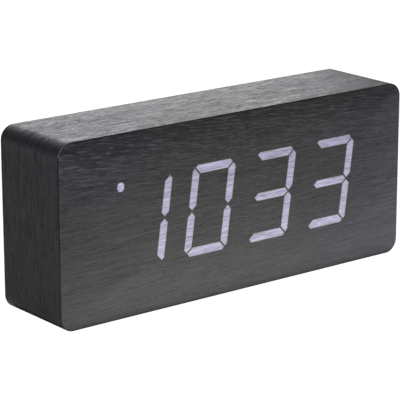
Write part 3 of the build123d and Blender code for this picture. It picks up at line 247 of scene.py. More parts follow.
# Each row: its share of the tone, how dense along and across, its detail and its shift.
GRAIN_LAYERS = {
    "bands": (0.15, 0.16, 0.11, 2.0, 0.0),
    "streaks": (0.35, 1.0, 1.0, 2.0, 3.0),
    "fibres": (0.25, 2.2, 2.4, 2.0, 7.0),
    "flecks": (0.25, 6.0, 1.5, 1.0, 9.0),
}
PORES_PER_METRE = {"front": (140, 2100), "round the sides": (190, 1200)}
PORE_SHIFT = 11.0
PORE_STEP = (0.59, 0.63)


def wood_patterns(tree, direction):
    """The wood's tone, fibres and pores, each as a value from 0 to 1."""
    place = grain_place(tree, direction)
    length, fineness = GRAIN_PER_METRE[direction]
    noises = {}
    tone = 0.0
    for name, (share, along, across, detail, shift) in GRAIN_LAYERS.items():
        per_metre = grain_scale(along * length, across * fineness, direction)
        noises[name] = stretched_noise(tree, per_metre, detail, shift, place)
        tone = combine(tree, "ADD", tone, combine(tree, "MULTIPLY", noises[name], share))
    pore_places = grain_scale(*PORES_PER_METRE[direction], direction)
    pore_noise = stretched_noise(tree, pore_places, 1.0, PORE_SHIFT, place)
    pores = between(tree, pore_noise, 0.0, 1.0, *PORE_STEP)
    return tone, noises["fibres"], pores


print("the tone of the wood is the sum of", *GRAIN_LAYERS)

# %% [markdown]
# ## Where the stain differs, and a painted shade
# Black stain never takes quite evenly. Low down the front is smoother, so its tone is drawn
# to the middle there. A cool violet cast shows at both ends of the front, at the left one
# only high up, and drifts over the wood in faint clouds. Down the ends the strip's colour is
# halved, a painted shade, as the ends get less light than the top. Each of these is a soft mask.

# %% Vary the stain and paint shade down the ends
CALM_LOW = 0.45
VIOLET_LEFT = (-85 * MM, -20 * MM)
VIOLET_RIGHT = (30 * MM, 100 * MM)
VIOLET_HIGH = (CASE_MIDDLE.z, CASE_TOP - 15 * MM)
CLOUDS_PER_METRE = (11, 11, 16)
CLOUD_SHARE = (-0.15, 0.25)
CLOUD_SPAN = (0.35, 0.65)
END_SHADE = 0.5
END_SHADE_FADE = (CASE_TOP - 12 * MM, CASE_TOP - 1 * MM)


def calmer_low_down(tree, tone):
    """Draws the tone towards its middle near the table, where the sheet is smoother."""
    share = between(tree, own_axes(tree)["Z"], CALM_LOW, 1.0, 0.0, CASE_MIDDLE.z)
    off_middle = combine(tree, "MULTIPLY", combine(tree, "SUBTRACT", tone, RAMP_MIDDLE), share)
    return combine(tree, "ADD", off_middle, RAMP_MIDDLE)


def violet_share(tree):
    """How violet the stain is: most towards the ends, and at the left one only high up."""
    place = own_axes(tree)
    left = between(tree, place["X"], 1.0, 0.0, *VIOLET_LEFT)
    high = between(tree, place["Z"], 0.0, 1.0, *VIOLET_HIGH)
    right = between(tree, place["X"], 0.0, 1.0, *VIOLET_RIGHT)
    ends = combine(tree, "MAXIMUM", combine(tree, "MULTIPLY", left, high), right)
    cloud_noise = stretched_noise(tree, CLOUDS_PER_METRE, detail=1.0)
    return combine(tree, "ADD", ends, between(tree, cloud_noise, *CLOUD_SHARE, *CLOUD_SPAN))


def painted_shade_down_the_ends(tree):
    """Painted shade: the colour in full on the top, and half of it down the ends."""
    return between(tree, own_axes(tree)["Z"], END_SHADE, 1.0, *END_SHADE_FADE)


# Prints the share of colour that the painted shade leaves down the ends.
print(f"the stain lets {END_SHADE:.0%} of the light through at the ends")

# %% [markdown]
# ## The black veneer
# Over the stain lies a thin satin lacquer. The tone picks a colour between two near-blacks,
# and the pores lie on it as pale dashes. Lacquer sinks into soft wood, so a darker place is
# also a rougher one, and the relief raises the fibres and sinks the pores. One recipe makes
# all three veneers.

# %% Write the recipe of the veneer
STAIN_DARK = (0.016, 0.016, 0.016)
STAIN_LIGHT = (0.050, 0.050, 0.050)
STAIN_VIOLET = (0.99, 0.965, 1.16)
WHITE = (1, 1, 1)
PORE_PALE = (0.085, 0.084, 0.092)
SATIN_SPAN = (0.36, 0.64)


def stained_colour(tree, tone, contrast, painted_end_shade):
    """The colour of the stained wood between its pores, with the painted shade where given."""
    stops = [(RAMP_MIDDLE - contrast, STAIN_DARK), (RAMP_MIDDLE + contrast, STAIN_LIGHT)]
    drift = toned(tree, violet_share(tree), [(0.0, WHITE), (1.0, STAIN_VIOLET)])
    wood = mixed(tree, 1.0, toned(tree, tone, stops), drift, "MULTIPLY")
    # Painted shade: where given, the colour is darkened down the ends of the strip.
    if painted_end_shade:
        wood = mixed(tree, 1.0, wood, painted_end_shade(tree), "MULTIPLY")
    return wood


def black_veneer(
    name, direction, pore_share, roughness, sheen=0.14, contrast=0.12,
    polish=0.09, relief_mm=0.05, matt_pores=0.0, painted_end_shade=None,
):
    """Stained veneer. pore_share says how strongly the pale pores show."""
    finish, tree, shader = new_finish(name, STAIN_DARK, roughness)
    tone, fibres, pores = wood_patterns(tree, direction)
    tone = calmer_low_down(tree, tone)
    wood = stained_colour(tree, tone, contrast, painted_end_shade)
    pale = combine(tree, "MULTIPLY", pores, pore_share(tree))
    wood = mixed(tree, pale, wood, (*PORE_PALE, 1))
    satin = between(tree, tone, roughness + polish, roughness - polish, *SATIN_SPAN)
    matt = combine(tree, "MULTIPLY", pores, matt_pores)
    feed(shader, {"Base Color": wood, "Roughness": combine(tree, "ADD", satin, matt)})
    feed(shader, {"Specular IOR Level": sheen})
    relief(shader, combine(tree, "SUBTRACT", fibres, pores), relief_mm)
    return finish


print("the veneer's colour lies between", STAIN_DARK[0], "and", STAIN_LIGHT[0])

# %% [markdown]
# ## Where the pores show
# On the front sheet the pores are open and pale near the upper edge, and fade out towards
# the middle. A height mask does it, broken up by a slow noise so that it has no straight
# edge. On the strip they show on the sanded top only, short of the rear edge, and on the
# rear sheet they come and go in patches.

# %% Make the three veneers
PORES_LOW_DOWN = 0.03
PORES_HIGH_UP = 0.66
PORE_HEIGHTS = (CASE_MIDDLE.z + 6 * MM, CASE_TOP - 8 * MM)
HEIGHT_WANDER = 12 * MM
HEIGHT_WANDERS_PER_METRE = (12, 12, 40)
PORES_ON_TOP = 0.4
TOP_FADE = (CASE_TOP - 2.5 * MM, CASE_TOP - 0.3 * MM)
REAR_FADE = (STRIP_REAR - 0.8 * MM, STRIP_REAR - 0.3 * MM)
REAR_PATCHES_PER_METRE = (14, 40, 14)
REAR_PORES = (0.15, 0.6)


def pores_near_top(tree):
    """Pale pores high up on the front, with a ragged lower edge."""
    wander_noise = stretched_noise(tree, HEIGHT_WANDERS_PER_METRE)
    wander = between(tree, wander_noise, -HEIGHT_WANDER, HEIGHT_WANDER)
    height = combine(tree, "ADD", own_axes(tree)["Z"], wander)
    return between(tree, height, PORES_LOW_DOWN, PORES_HIGH_UP, *PORE_HEIGHTS)


def pores_on_top(tree):
    """Pale pores on the top only, and not at its rear edge."""
    place = own_axes(tree)
    on_top = between(tree, place["Z"], 0.0, PORES_ON_TOP, *TOP_FADE)
    return combine(tree, "MULTIPLY", on_top, between(tree, place["Y"], 1.0, 0.0, *REAR_FADE))


def pores_in_patches(tree):
    """Pale pores that come and go."""
    return between(tree, stretched_noise(tree, REAR_PATCHES_PER_METRE), *REAR_PORES)


front_wood = black_veneer("front_veneer_black", "front", pores_near_top, roughness=0.44)
rear_wood = black_veneer("rear_veneer_black", "front", pores_in_patches, roughness=0.5)
# The strip gets a painted shade down its ends, which get less light than the top.
strip_wood = black_veneer(
    "wrap_veneer_black", "round the sides", pores_on_top, roughness=0.46,
    sheen=0.09, contrast=0.2, polish=0.14, relief_mm=0.035, matt_pores=0.2,
    painted_end_shade=painted_shade_down_the_ends,
)
print("veneers:", front_wood.name, rear_wood.name, strip_wood.name)

# %% [markdown]
# ## The lit veneer
# Where a segment is on, the light comes through the same wood: a pale lilac glow with the
# grain still faintly in it. Real light behind real wood would be slow to work out and hard to
# steer, so the glow is an emission whose colour follows the fibres, over the wood's own dark
# satin. The rim gets light from one side only, so it is dimmer and a little warmer. The
# alarm dot, close to its lamp, is the brightest.

# %% Mix the lit veneer
GLOW_DIM = (0.115, 0.125, 0.225)
GLOW_BRIGHT = (0.475, 0.445, 0.615)
RIM_DIM = (0.185, 0.142, 0.185)
RIM_OPEN_GRAIN = 1.5
RIM_BRIGHT = tuple(RIM_OPEN_GRAIN * part for part in RIM_DIM)
GLOW_SPAN = (0.38, 0.62)
TONE_IN_GLOW = 0.7
GLOW_RELIEF_MM = 0.03
DOT_POWER = 1.25


def lit_veneer(name, dim, bright, power=1.0):
    """Veneer with light behind it, dim where the grain is dense."""
    finish, tree, shader = new_finish(name, STAIN_LIGHT, roughness=0.45)
    tone, fibres, _ = wood_patterns(tree, "front")
    grain = weighed(tree, tone, fibres, TONE_IN_GLOW)
    glow = toned(tree, grain, list(zip(GLOW_SPAN, (dim, bright))))
    feed(shader, {"Emission Color": glow, "Emission Strength": power})
    relief(shader, fibres, GLOW_RELIEF_MM)
    return finish


lit_wood = lit_veneer("lit_veneer", GLOW_DIM, GLOW_BRIGHT)
lit_dot = lit_veneer("lit_veneer_dot", GLOW_DIM, GLOW_BRIGHT, DOT_POWER)
lit_rim = lit_veneer("lit_veneer_rim", RIM_DIM, RIM_BRIGHT)
print("lit patches glow between", GLOW_DIM, "and", GLOW_BRIGHT)

# %% [markdown]
# ## Board, plastic and rubber
# The rim behind the rear board shows the fibreboard itself, dyed black and matt. The control
# panel, the tray and the door are moulded in black plastic with the fine even grain of its
# mould. The buttons are polished, and the pads underneath are soft rubber. One recipe serves
# them all: a colour broken up a little by noise, and a bump of the grain's real size.

# %% Write the recipe of an even grain
PATCHES_PER_METRE = (35, 35, 35)
PATCH_SHIFT = 5.0
TINT_SPAN = (0.3, 0.7)
SPECKLE_SHARE = 0.5
WORN_BY = 0.05
COAT_ROUGHNESS = 0.15


def grained(name, dark, light, roughness, per_metre, depth_mm, coat=0.0, sheen=0.5):
    """A moulded or pressed surface with an even fine grain."""
    finish, tree, shader = new_finish(name, dark, roughness)
    grain = stretched_noise(tree, (per_metre, per_metre, per_metre), detail=2.0)
    patches = stretched_noise(tree, PATCHES_PER_METRE, detail=2.0, shift=PATCH_SHIFT)
    tint = toned(tree, weighed(tree, grain, patches, SPECKLE_SHARE), list(zip(TINT_SPAN, (dark, light))))
    worn = between(tree, patches, roughness - WORN_BY, roughness + WORN_BY, *TINT_SPAN)
    feed(shader, {"Base Color": tint, "Roughness": worn, "Specular IOR Level": sheen})
    feed(shader, {"Coat Weight": coat, "Coat Roughness": COAT_ROUGHNESS})
    relief(shader, grain, depth_mm)
    return finish


# Each row: dark tone, light tone, roughness, grains per metre, depth in mm, and a coat.
OUTSIDE = {
    "fibreboard_dyed": ((0.012, 0.011, 0.011), (0.024, 0.022, 0.021), 0.78, 900, 0.05),
    "moulded_black": ((0.014, 0.014, 0.015), (0.022, 0.022, 0.023), 0.52, 2600, 0.02),
    "button_black": ((0.018, 0.018, 0.019), (0.026, 0.026, 0.028), 0.32, 3000, 0.004, 0.4),
    "pad_rubber": ((0.010, 0.010, 0.010), (0.019, 0.019, 0.019), 0.85, 1800, 0.03),
}
fibreboard, moulded_black, button_black, pad_rubber = (
    grained(name, *row) for name, row in OUTSIDE.items()
)
print("outside:", *OUTSIDE)

# %% [markdown]
# ## The plastics inside
# Chips and switches are pressed from a dark, dull resin. Connectors are cream nylon, the
# reflector is a white that throws all the light forward, and the two leads to the battery
# tray have a red and a black sleeve. They use the same recipe with other numbers.

# %% Mix the plastics inside
INSIDE = {
    "chip_black": ((0.016, 0.016, 0.017), (0.030, 0.030, 0.031), 0.6, 3500, 0.008),
    "connector_nylon": ((0.68, 0.64, 0.53), (0.78, 0.75, 0.66), 0.45, 1500, 0.01),
    "reflector_white": ((0.74, 0.74, 0.74), (0.86, 0.86, 0.87), 0.4, 1200, 0.01),
    "lead_red": ((0.42, 0.012, 0.008), (0.56, 0.025, 0.015), 0.42, 1100, 0.01),
    "lead_black": ((0.012, 0.012, 0.012), (0.022, 0.022, 0.022), 0.42, 1100, 0.01),
}
chip_black, nylon, reflector_white, red_sleeve, black_sleeve = (
    grained(name, *row) for name, row in INSIDE.items()
)
print("inside:", *INSIDE)

# %% [markdown]
# ## Metal
# Pressed contacts, spring wire, screws and cans are metal. Drawn and rolled metal carries
# fine lines in one direction, so its roughness and a very shallow bump use stretched noise.
# A second, round noise lets the colour drift a little.

# %% Mix the metals
ROLLED_LINES_PER_METRE = (60, 60, 2400)
STAINS_PER_METRE = (160, 160, 160)
STAIN_SHIFT = 2.0
STAIN_SPAN = (0.35, 0.65)
STAINED_TO = 0.78
POLISHED_BY = 0.1
SCRATCHED_BY = 0.12
SCRATCH_MM = 0.004


def rolled_metal(name, colour, roughness):
    """Bare or plated metal with the fine lines of rolling or drawing."""
    finish, tree, shader = new_finish(name, colour, roughness, metallic=1.0)
    scratches = stretched_noise(tree, ROLLED_LINES_PER_METRE)
    stain = stretched_noise(tree, STAINS_PER_METRE, detail=2.0, shift=STAIN_SHIFT)
    darker = tuple(STAINED_TO * part for part in colour)
    tint = toned(tree, stain, list(zip(STAIN_SPAN, (darker, colour))))
    scratched = between(tree, scratches, roughness - POLISHED_BY, roughness + SCRATCHED_BY)
    feed(shader, {"Base Color": tint, "Roughness": scratched})
    relief(shader, scratches, SCRATCH_MM)
    return finish


steel = rolled_metal("steel_plain", (0.56, 0.56, 0.57), roughness=0.34)
nickel = rolled_metal("nickel_plate", (0.66, 0.63, 0.58), roughness=0.28)
aluminium = rolled_metal("can_aluminium", (0.74, 0.74, 0.75), roughness=0.3)
black_zinc = rolled_metal("screw_black", (0.035, 0.035, 0.038), roughness=0.42)
print("metals:", steel.name, nickel.name, aluminium.name, black_zinc.name)

# %% [markdown]
# ## Circuit board and flat cable
# The boards are glass fibre under green solder mask, over copper tracks that show as paler
# lines, which a brick texture draws. The flat cable is a row of round conductors, so a wave
# across it gives its ridges and a painted shade in the grooves. Blender's wave repeats every
# tenth of pi metres at scale 1, which sets the scale for a given pitch.

# %% Mix the board and the cable
TRACKS_PER_METRE = (120, 120, 120)
BRICK_TRACKS = {"Mortar Size": 0.03, "Scale": 1.0, "Brick Width": 1.7, "Row Height": 0.3}
BOARD_TONES = [(0.2, (0.008, 0.075, 0.028)), (0.8, (0.02, 0.15, 0.06))]
WEAVE_PER_METRE = (2200, 60, 2200)
WEAVE_ROUGHNESS = (0.28, 0.42)
TRACK_MM = 0.03
CABLE_PITCH = 1.27 * MM
WAVE_LENGTH = math.pi / 10
CABLE_GROOVE_SHADE = [(0.2, (0.2, 0.21, 0.23)), (0.8, (0.36, 0.37, 0.4))]
RIDGE_MM = 0.25
QUARTER_TURN = math.pi / 2


def solder_mask():
    """Green solder mask over copper tracks and a glass weave."""
    finish, tree, shader = new_finish("circuit_board_green", (0.01, 0.09, 0.03), roughness=0.35)
    values = {"Vector": own_place(tree), "Rotation": (QUARTER_TURN, 0, 0), "Scale": TRACKS_PER_METRE}
    turned = put(tree, "Mapping", values).outputs["Vector"]
    tracks = put(tree, "TexBrick", {"Vector": turned} | BRICK_TRACKS).outputs["Fac"]
    weave = stretched_noise(tree, WEAVE_PER_METRE, detail=1.0)
    sheen = between(tree, weave, *WEAVE_ROUGHNESS)
    feed(shader, {"Base Color": toned(tree, tracks, BOARD_TONES), "Roughness": sheen})
    relief(shader, tracks, TRACK_MM)
    return finish


def flat_cable():
    """Grey flat cable, with a ridge over each conductor and painted shade in the grooves."""
    finish, tree, shader = new_finish("flat_cable_grey", (0.32, 0.33, 0.35), roughness=0.45)
    values = {"Vector": own_place(tree), "Scale": WAVE_LENGTH / CABLE_PITCH}
    ridges = put(tree, "TexWave", values, bands_direction="X").outputs["Fac"]
    # Painted shade: the grey is darker in the grooves between the conductors and paler on the ridges.
    feed(shader, {"Base Color": toned(tree, ridges, CABLE_GROOVE_SHADE)})
    relief(shader, ridges, RIDGE_MM)
    return finish


board_green = solder_mask()
cable_grey = flat_cable()
print(f"board and cable, with a conductor every {CABLE_PITCH / MM} mm")

# %% [markdown]
# ## Resins
# The light guides are cast in a milky resin that spreads the light of the lamps behind them.
# The lamps themselves are drops of clear resin, tinted yellow. Both need transmission with a
# resin's real refractive index, and a faint cloud in the colour keeps them from looking like
# glass.

# %% Mix the resins
CLOUD_PER_METRE = (400, 400, 400)
PALER_BY = 1.12
RESIN_IOR = 1.49
RESIN_MM = 0.01


def cast_resin(name, colour, roughness, through):
    """Milky or clear resin that lets light through."""
    finish, tree, shader = new_finish(name, colour, roughness)
    cloud = stretched_noise(tree, CLOUD_PER_METRE, detail=2.0)
    paler = tuple(min(1.0, PALER_BY * part) for part in colour)
    tint = toned(tree, cloud, list(zip(TINT_SPAN, (colour, paler))))
    feed(shader, {"Base Color": tint, "Transmission Weight": through, "IOR": RESIN_IOR})
    relief(shader, cloud, RESIN_MM)
    return finish


milky_resin = cast_resin("light_guide_resin", (0.80, 0.80, 0.84), roughness=0.35, through=0.5)
lamp_yellow = cast_resin("led_resin", (0.86, 0.80, 0.42), roughness=0.25, through=0.2)
print("resins:", milky_resin.name, lamp_yellow.name)

# %% [markdown]
# ## The cells
# An AAA cell is a steel can in a thin printed sleeve, with bare metal at both ends. Here the
# sleeve is plain: grey with a narrow dark band near the positive end, which shows which way
# round the cell goes, and no lettering. A ramp with hard steps along the cell's own length
# places the band, so each cell gets its own copy of the finish.

# %% Dress the cells
SLEEVE_GREY = (0.13, 0.15, 0.18)
SLEEVE_DARK = (0.025, 0.027, 0.03)
SLEEVE_METALLIC = 0.35
BARE_END = (0.62, 0.61, 0.58)
BAND_LENGTH = 3.0 * MM
NUB_LENGTH = 1.9 * MM
REAR_RIM = 0.5 * MM
SLEEVE_LINES_PER_METRE = (40, 900, 900)
SLEEVE_MM = 0.01
CELLS = (1, 2, 3, 4)
CELLS_FACING_RIGHT = (1, 3)


def sleeve(name, low_x, high_x, positive_x):
    """A plain sleeve, with its band near the positive end at positive_x."""
    finish, tree, shader = new_finish(name, SLEEVE_GREY, roughness=0.3)
    length = high_x - low_x
    inward = 1.0 if positive_x == low_x else -1.0
    from_tip = combine(tree, "SUBTRACT", own_axes(tree)["X"], positive_x)
    share = between(tree, combine(tree, "MULTIPLY", from_tip, inward), 0.0, 1.0, 0.0, length)
    steps = [(0.0, BARE_END), (NUB_LENGTH, SLEEVE_GREY), (NUB_LENGTH + BAND_LENGTH, SLEEVE_DARK)]
    steps += [(NUB_LENGTH + 2 * BAND_LENGTH, SLEEVE_GREY), (length - REAR_RIM, BARE_END)]
    stops = [(distance / length, colour) for distance, colour in steps]
    bands = toned(tree, share, stops, stepped=True)
    feed(shader, {"Base Color": bands, "Metallic": SLEEVE_METALLIC})
    relief(shader, stretched_noise(tree, SLEEVE_LINES_PER_METRE), SLEEVE_MM)
    return finish


def dress(node_name, finish):
    """Gives a CAD piece this finish."""
    mesh = nodes[node_name].data
    mesh.materials.clear()
    mesh.materials.append(finish)


for number in CELLS:
    name = f"battery_cell_{number}"
    low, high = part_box(name)
    tip = high.x if number in CELLS_FACING_RIGHT else low.x
    dress(name, sleeve(f"{name}_sleeve", low.x, high.x, tip))
print(len(CELLS), "plain cells,", round((high.x - low.x) / MM, 1), "mm long")

# %% [markdown]
# ## Dress the rest
# Every other CAD piece keeps its shape and only gets a finish. The list goes by finish, so it
# shows what is made of what.

# %% Give each piece its finish
DIGITS = (1, 2, 3, 4)
BUTTONS = ("set", "up", "down")
wardrobe = {
    strip_wood: ["wrap_veneer"],
    rear_wood: ["rear_veneer"],
    fibreboard: ["carcass", "rear_board"],
    moulded_black: ["control_panel", "battery_tray", "battery_door"],
    button_black: [f"{use}_button" for use in BUTTONS] + ["slide_switch_lever"],
    chip_black: ["clock_chip", "chip_resistors", "buzzer", "power_socket_tongue"]
    + [f"{use}_{kind}" for use in BUTTONS for kind in ("push_switch", "plunger")],
    pad_rubber: ["foot_pads"],
    nylon: ["display_connector", "control_connector"],
    reflector_white: ["display_reflector"],
    red_sleeve: ["positive_lead"],
    black_sleeve: ["negative_lead"],
    steel: ["crystal", "slide_switch_body", "display_board_screws", "control_board_screws"],
    nickel: ["battery_springs", "left_end_contact", "right_end_contact", "centre_contact"]
    + ["positive_contact", "negative_contact", "power_socket_shell"],
    aluminium: ["smoothing_capacitor", "microphone"],
    black_zinc: ["rear_board_screws", "battery_tray_screws"],
    board_green: ["display_board", "control_board"],
    cable_grey: ["ribbon_cable"],
    milky_resin: ["colon_light_guides", "alarm_light_guide"]
    + [f"digit_{number}_light_guides" for number in DIGITS],
    lamp_yellow: ["segment_leds"],
}
for finish, names in wardrobe.items():
    for name in names:
        dress(name, finish)
print("dressed", sum(len(names) for names in wardrobe.values()), "pieces in", len(wardrobe), "finishes")

# %% [markdown]
# ## The outlines of the segments
# The light guides stand right behind the veneer, so their front faces are exactly the
# patches that can glow. They could be drawn anew, but reading the outlines from those faces
# keeps the veneer and the guides in step. A closed outline is found by walking along the
# edges that only one of the front faces uses.


# %% Walk round an outline
def edges_round(mesh, y):
    """The edges round the faces that lie in the plane at y."""
    faces = {f for f in mesh.faces if all(abs(v.co.y - y) < SAME_PLACE for v in f.verts)}
    return [e for e in mesh.edges if sum(f in faces for f in e.link_faces) == 1]


def walks(edges):
    """Sorts edges into closed walks, each a list of corners."""
    neighbours = {}
    for edge in edges:
        first, second = edge.verts
        neighbours.setdefault(first, []).append(second)
        neighbours.setdefault(second, []).append(first)
    while neighbours:
        walk = [next(iter(neighbours))]
        while True:
            onward = [corner for corner in neighbours.pop(walk[-1]) if corner in neighbours]
            if not onward:
                break
            walk.append(onward[0])
        yield walk


def outlines_at(node_name, y):
    """The outlines of this piece's faces in the plane at y, as lists of (x, z)."""
    mesh = bmesh.new()
    mesh.from_mesh(nodes[node_name].data)
    bmesh.ops.remove_doubles(mesh, verts=mesh.verts, dist=SAME_PLACE)
    outlines = [[(v.co.x, v.co.z) for v in walk] for walk in walks(edges_round(mesh, y))]
    mesh.free()
    return outlines


def guide_outlines(node_name):
    """The outlines of this piece's light guides, just behind the veneer."""
    return outlines_at(node_name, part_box(node_name)[0].y)


guides = {number: guide_outlines(f"digit_{number}_light_guides") for number in DIGITS}
print(sum(len(outlines) for outlines in guides.values()), "segments in", len(guides), "digits")

# %% [markdown]
# ## Which segments are on
# Segments are known by letters: a is the top bar, then b to f go round clockwise, and g is
# the middle bar. The clock shows 10:33, with its colon off and the alarm dot on. A segment's
# letter follows from where its middle lies in the digit, once the lean is taken out.

# %% Choose the lit segments
TIME_SHOWN = "1033"
SEGMENTS_ON = {"0": "abcdef", "1": "bc", "3": "abcdg"}
LEAN = math.tan(math.radians(8.0))
BAR_REACH = 5 * MM


def middle_of(outline):
    """The middle of an outline's corners."""
    return Vector((sum(x for x, _ in outline), sum(z for _, z in outline))) / len(outline)


def segment_letter(outline, digit_middle):
    """The letter of the segment with this outline."""
    offset = middle_of(outline) - digit_middle
    side = offset.x - LEAN * offset.y
    if abs(side) < BAR_REACH:
        return "g" if abs(offset.y) < BAR_REACH else ("a" if offset.y > 0 else "d")
    if side > 0:
        return "b" if offset.y > 0 else "c"
    return "f" if offset.y > 0 else "e"


lit = {}
for number, figure in zip(DIGITS, TIME_SHOWN):
    low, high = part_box(f"digit_{number}_light_guides")
    digit_middle = Vector(((low.x + high.x) / 2, (low.z + high.z) / 2))
    letters_on = SEGMENTS_ON[figure]
    chosen = [outline for outline in guides[number] if segment_letter(outline, digit_middle) in letters_on]
    lit[f"digit_{number}"] = chosen
lit["alarm_dot"] = guide_outlines("alarm_light_guide")
print({name: len(outlines) for name, outlines in lit.items()})

# %% [markdown]
# ## From an outline to a piece
# Veneer and marks are flat things of an even thickness. Filling an outline makes a face, and
# pushing that face back makes it solid. Blender numbers the new faces differently each time,
# so they are put in order. The piece then gets smooth shading that stays crisp at sharp
# edges, and rides on a body of the frame.

# %% Make flat pieces solid
SHARP_ANGLE = math.radians(28)


def loop_edges(mesh, outline, y):
    """Adds a closed loop of edges through these (x, z) points."""
    verts = [mesh.verts.new((x, y, z)) for x, z in outline]
    return [mesh.edges.new(pair) for pair in zip(verts, verts[1:] + verts[:1])]


def number_faces(mesh):
    """Numbers the faces by their corners, the same way in every run."""
    mesh.verts.index_update()
    in_order = sorted(mesh.faces, key=lambda face: sorted(v.index for v in face.verts))
    places = {face: number for number, face in enumerate(in_order)}
    mesh.faces.sort(key=places.get)


def thicken(mesh, depth):
    """Pushes the whole flat face backwards, which leaves a solid sheet."""
    result = bmesh.ops.extrude_face_region(mesh, geom=mesh.faces[:])
    moved = [item for item in result["geom"] if isinstance(item, bmesh.types.BMVert)]
    bmesh.ops.translate(mesh, verts=moved, vec=(0, depth, 0))
    bmesh.ops.recalc_face_normals(mesh, faces=mesh.faces[:])
    number_faces(mesh)


def ease(mesh, edges, width):
    """Rounds these edges a little, in two steps."""
    bmesh.ops.bevel(mesh, geom=edges, offset=width, segments=2, profile=0.5, affect="EDGES")


def into_scene(name, data):
    """Makes an object of this data and puts it into the scene."""
    thing = bpy.data.objects.new(name, data)
    scene.collection.objects.link(thing)
    return thing


def place_piece(name, mesh, finish, body):
    """Turns the mesh into a shaded piece with its finish, riding on a body."""
    data = bpy.data.meshes.new(name)
    mesh.to_mesh(data)
    mesh.free()
    data.materials.append(finish)
    data.polygons.foreach_set("use_smooth", [True] * len(data.polygons))
    data.set_sharp_from_angle(angle=SHARP_ANGLE)
    piece = into_scene(name, data)
    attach(piece, body)
    return piece


def paint_faces(piece, finish, chosen):
    """Gives the faces that chosen picks a finish of their own."""
    piece.data.materials.append(finish)
    slot = len(piece.data.materials) - 1
    for face in piece.data.polygons:
        if chosen(face):
            face.material_index = slot


print(f"edges sharper than {math.degrees(SHARP_ANGLE):.0f} degrees stay crisp")

# %% [markdown]
# ## The front sheet
# The front veneer is one thin sheet. The patches that glow are cut out of it here, so that
# the glow has the crisp edge that the reflector behind gives it. Filling the sheet's outline
# together with those of its holes makes one face with openings. The outer edge is sanded
# softly round, which a bevel on the front rim does.

# %% Cut and ease the sheet
EDGE_EASING = 0.38 * MM
WALL_FACING = 0.5

sheet = bmesh.new()
case_outline = outlines_at("front_veneer", front_high.y)[0]
loop_edges(sheet, case_outline, FRONT_Y)
for outlines in lit.values():
    for outline in outlines:
        loop_edges(sheet, outline, FRONT_Y)
bmesh.ops.triangle_fill(sheet, use_beauty=True, edges=sheet.edges[:])
thicken(sheet, VENEER)


def in_mm(x, z):
    """A place in whole microns, so that two equal places compare as equal."""
    return round(x / MM, 3), round(z / MM, 3)


corners = {in_mm(x, z) for x, z in case_outline}


def is_front_rim(edge):
    """True for an edge on the front of the sheet's outer outline."""
    in_front = all(abs(v.co.y - FRONT_Y) < SAME_PLACE for v in edge.verts)
    beside_wall = any(abs(face.normal.y) < WALL_FACING for face in edge.link_faces)
    return in_front and beside_wall and all(in_mm(v.co.x, v.co.z) in corners for v in edge.verts)


front_rim = [edge for edge in sheet.edges if is_front_rim(edge)]
ease(sheet, front_rim, EDGE_EASING)
front_sheet = place_piece("front_veneer_sheet", sheet, front_wood, "clock")
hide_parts("front_veneer")
print("front sheet:", len(front_sheet.data.polygons), "faces,", len(front_rim), "eased edges")

# %% [markdown]
# ## The edge of the sheet
# Where veneer is cut and sanded, its end grain drinks the stain and turns a deep, dull
# black, which draws a fine dark line round the front. At the upper left corner the eased
# edge is painted paler, a painted highlight where it catches the light. Both are finishes
# for single faces, picked by the way they face and where they are.

# %% Stain the edge and paint its highlight
HIGHLIGHT_REACH = 6 * MM
EDGE_FACING = 0.98
HIGHLIGHT_FACING = (0.3, 0.98)

edge_black = grained(
    "veneer_edge_black", (0.003, 0.003, 0.003), (0.007, 0.007, 0.007),
    roughness=0.7, per_metre=900, depth_mm=0.02, sheen=0.2,
)
# Painted highlight: a paler grey for the eased edge at the upper left corner.
edge_painted_highlight = grained(
    "veneer_edge_painted_highlight", (0.06, 0.058, 0.06), (0.14, 0.135, 0.135),
    roughness=0.55, per_metre=900, depth_mm=0.02,
)


def is_edge(face):
    """True for the eased edge and the walls of the sheet."""
    return abs(face.normal.y) < EDGE_FACING


def is_painted_highlight(face):
    """True on the eased edge at the upper left corner, where the highlight is painted."""
    near_top = face.center.z > CASE_TOP - HIGHLIGHT_REACH
    near_end = face.center.x < front_low.x + HIGHLIGHT_REACH
    low_facing, high_facing = HIGHLIGHT_FACING
    return near_top and near_end and low_facing < abs(face.normal.y) < high_facing


paint_faces(front_sheet, edge_black, is_edge)
paint_faces(front_sheet, edge_painted_highlight, is_painted_highlight)
# Counts the faces that carry the painted highlight.
print(sum(is_painted_highlight(face) for face in front_sheet.data.polygons), "rubbed faces")

# %% [markdown]
# ## The patches that glow
# Each lit patch is a piece of the same veneer that fills its opening, flush with the front. A
# hair of a gap keeps its walls clear of the sheet's. Drawing the face inwards leaves a narrow
# frame of new faces round each patch, which gets the rim's dimmer glow.

# %% Fill the openings
PATCH_GAP = 0.03 * MM
RIM_WIDTH = 0.32 * MM
RIM_SLOT = 1


def drawn_in(outline, gap):
    """The outline with each corner moved towards the middle by the gap."""
    middle = middle_of(outline)
    points = [Vector(point) for point in outline]
    return [tuple(point + (middle - point).normalized() * gap) for point in points]


for name, outlines in lit.items():
    patches = bmesh.new()
    for outline in outlines:
        loop_edges(patches, drawn_in(outline, PATCH_GAP), FRONT_Y)
    bmesh.ops.triangle_fill(patches, use_beauty=True, edges=patches.edges[:])
    whole = patches.faces[:]
    rims = bmesh.ops.inset_region(
        patches, faces=whole, thickness=RIM_WIDTH, use_boundary=True, use_even_offset=True
    )
    for face in rims["faces"]:
        face.material_index = RIM_SLOT
    thicken(patches, VENEER)
    finish = lit_dot if name == "alarm_dot" else lit_wood
    piece = place_piece(f"{name}_lit_veneer", patches, finish, "clock")
    piece.data.materials.append(lit_rim)
print("lit patches:", sum(len(outlines) for outlines in lit.values()), "in", len(lit), "pieces")

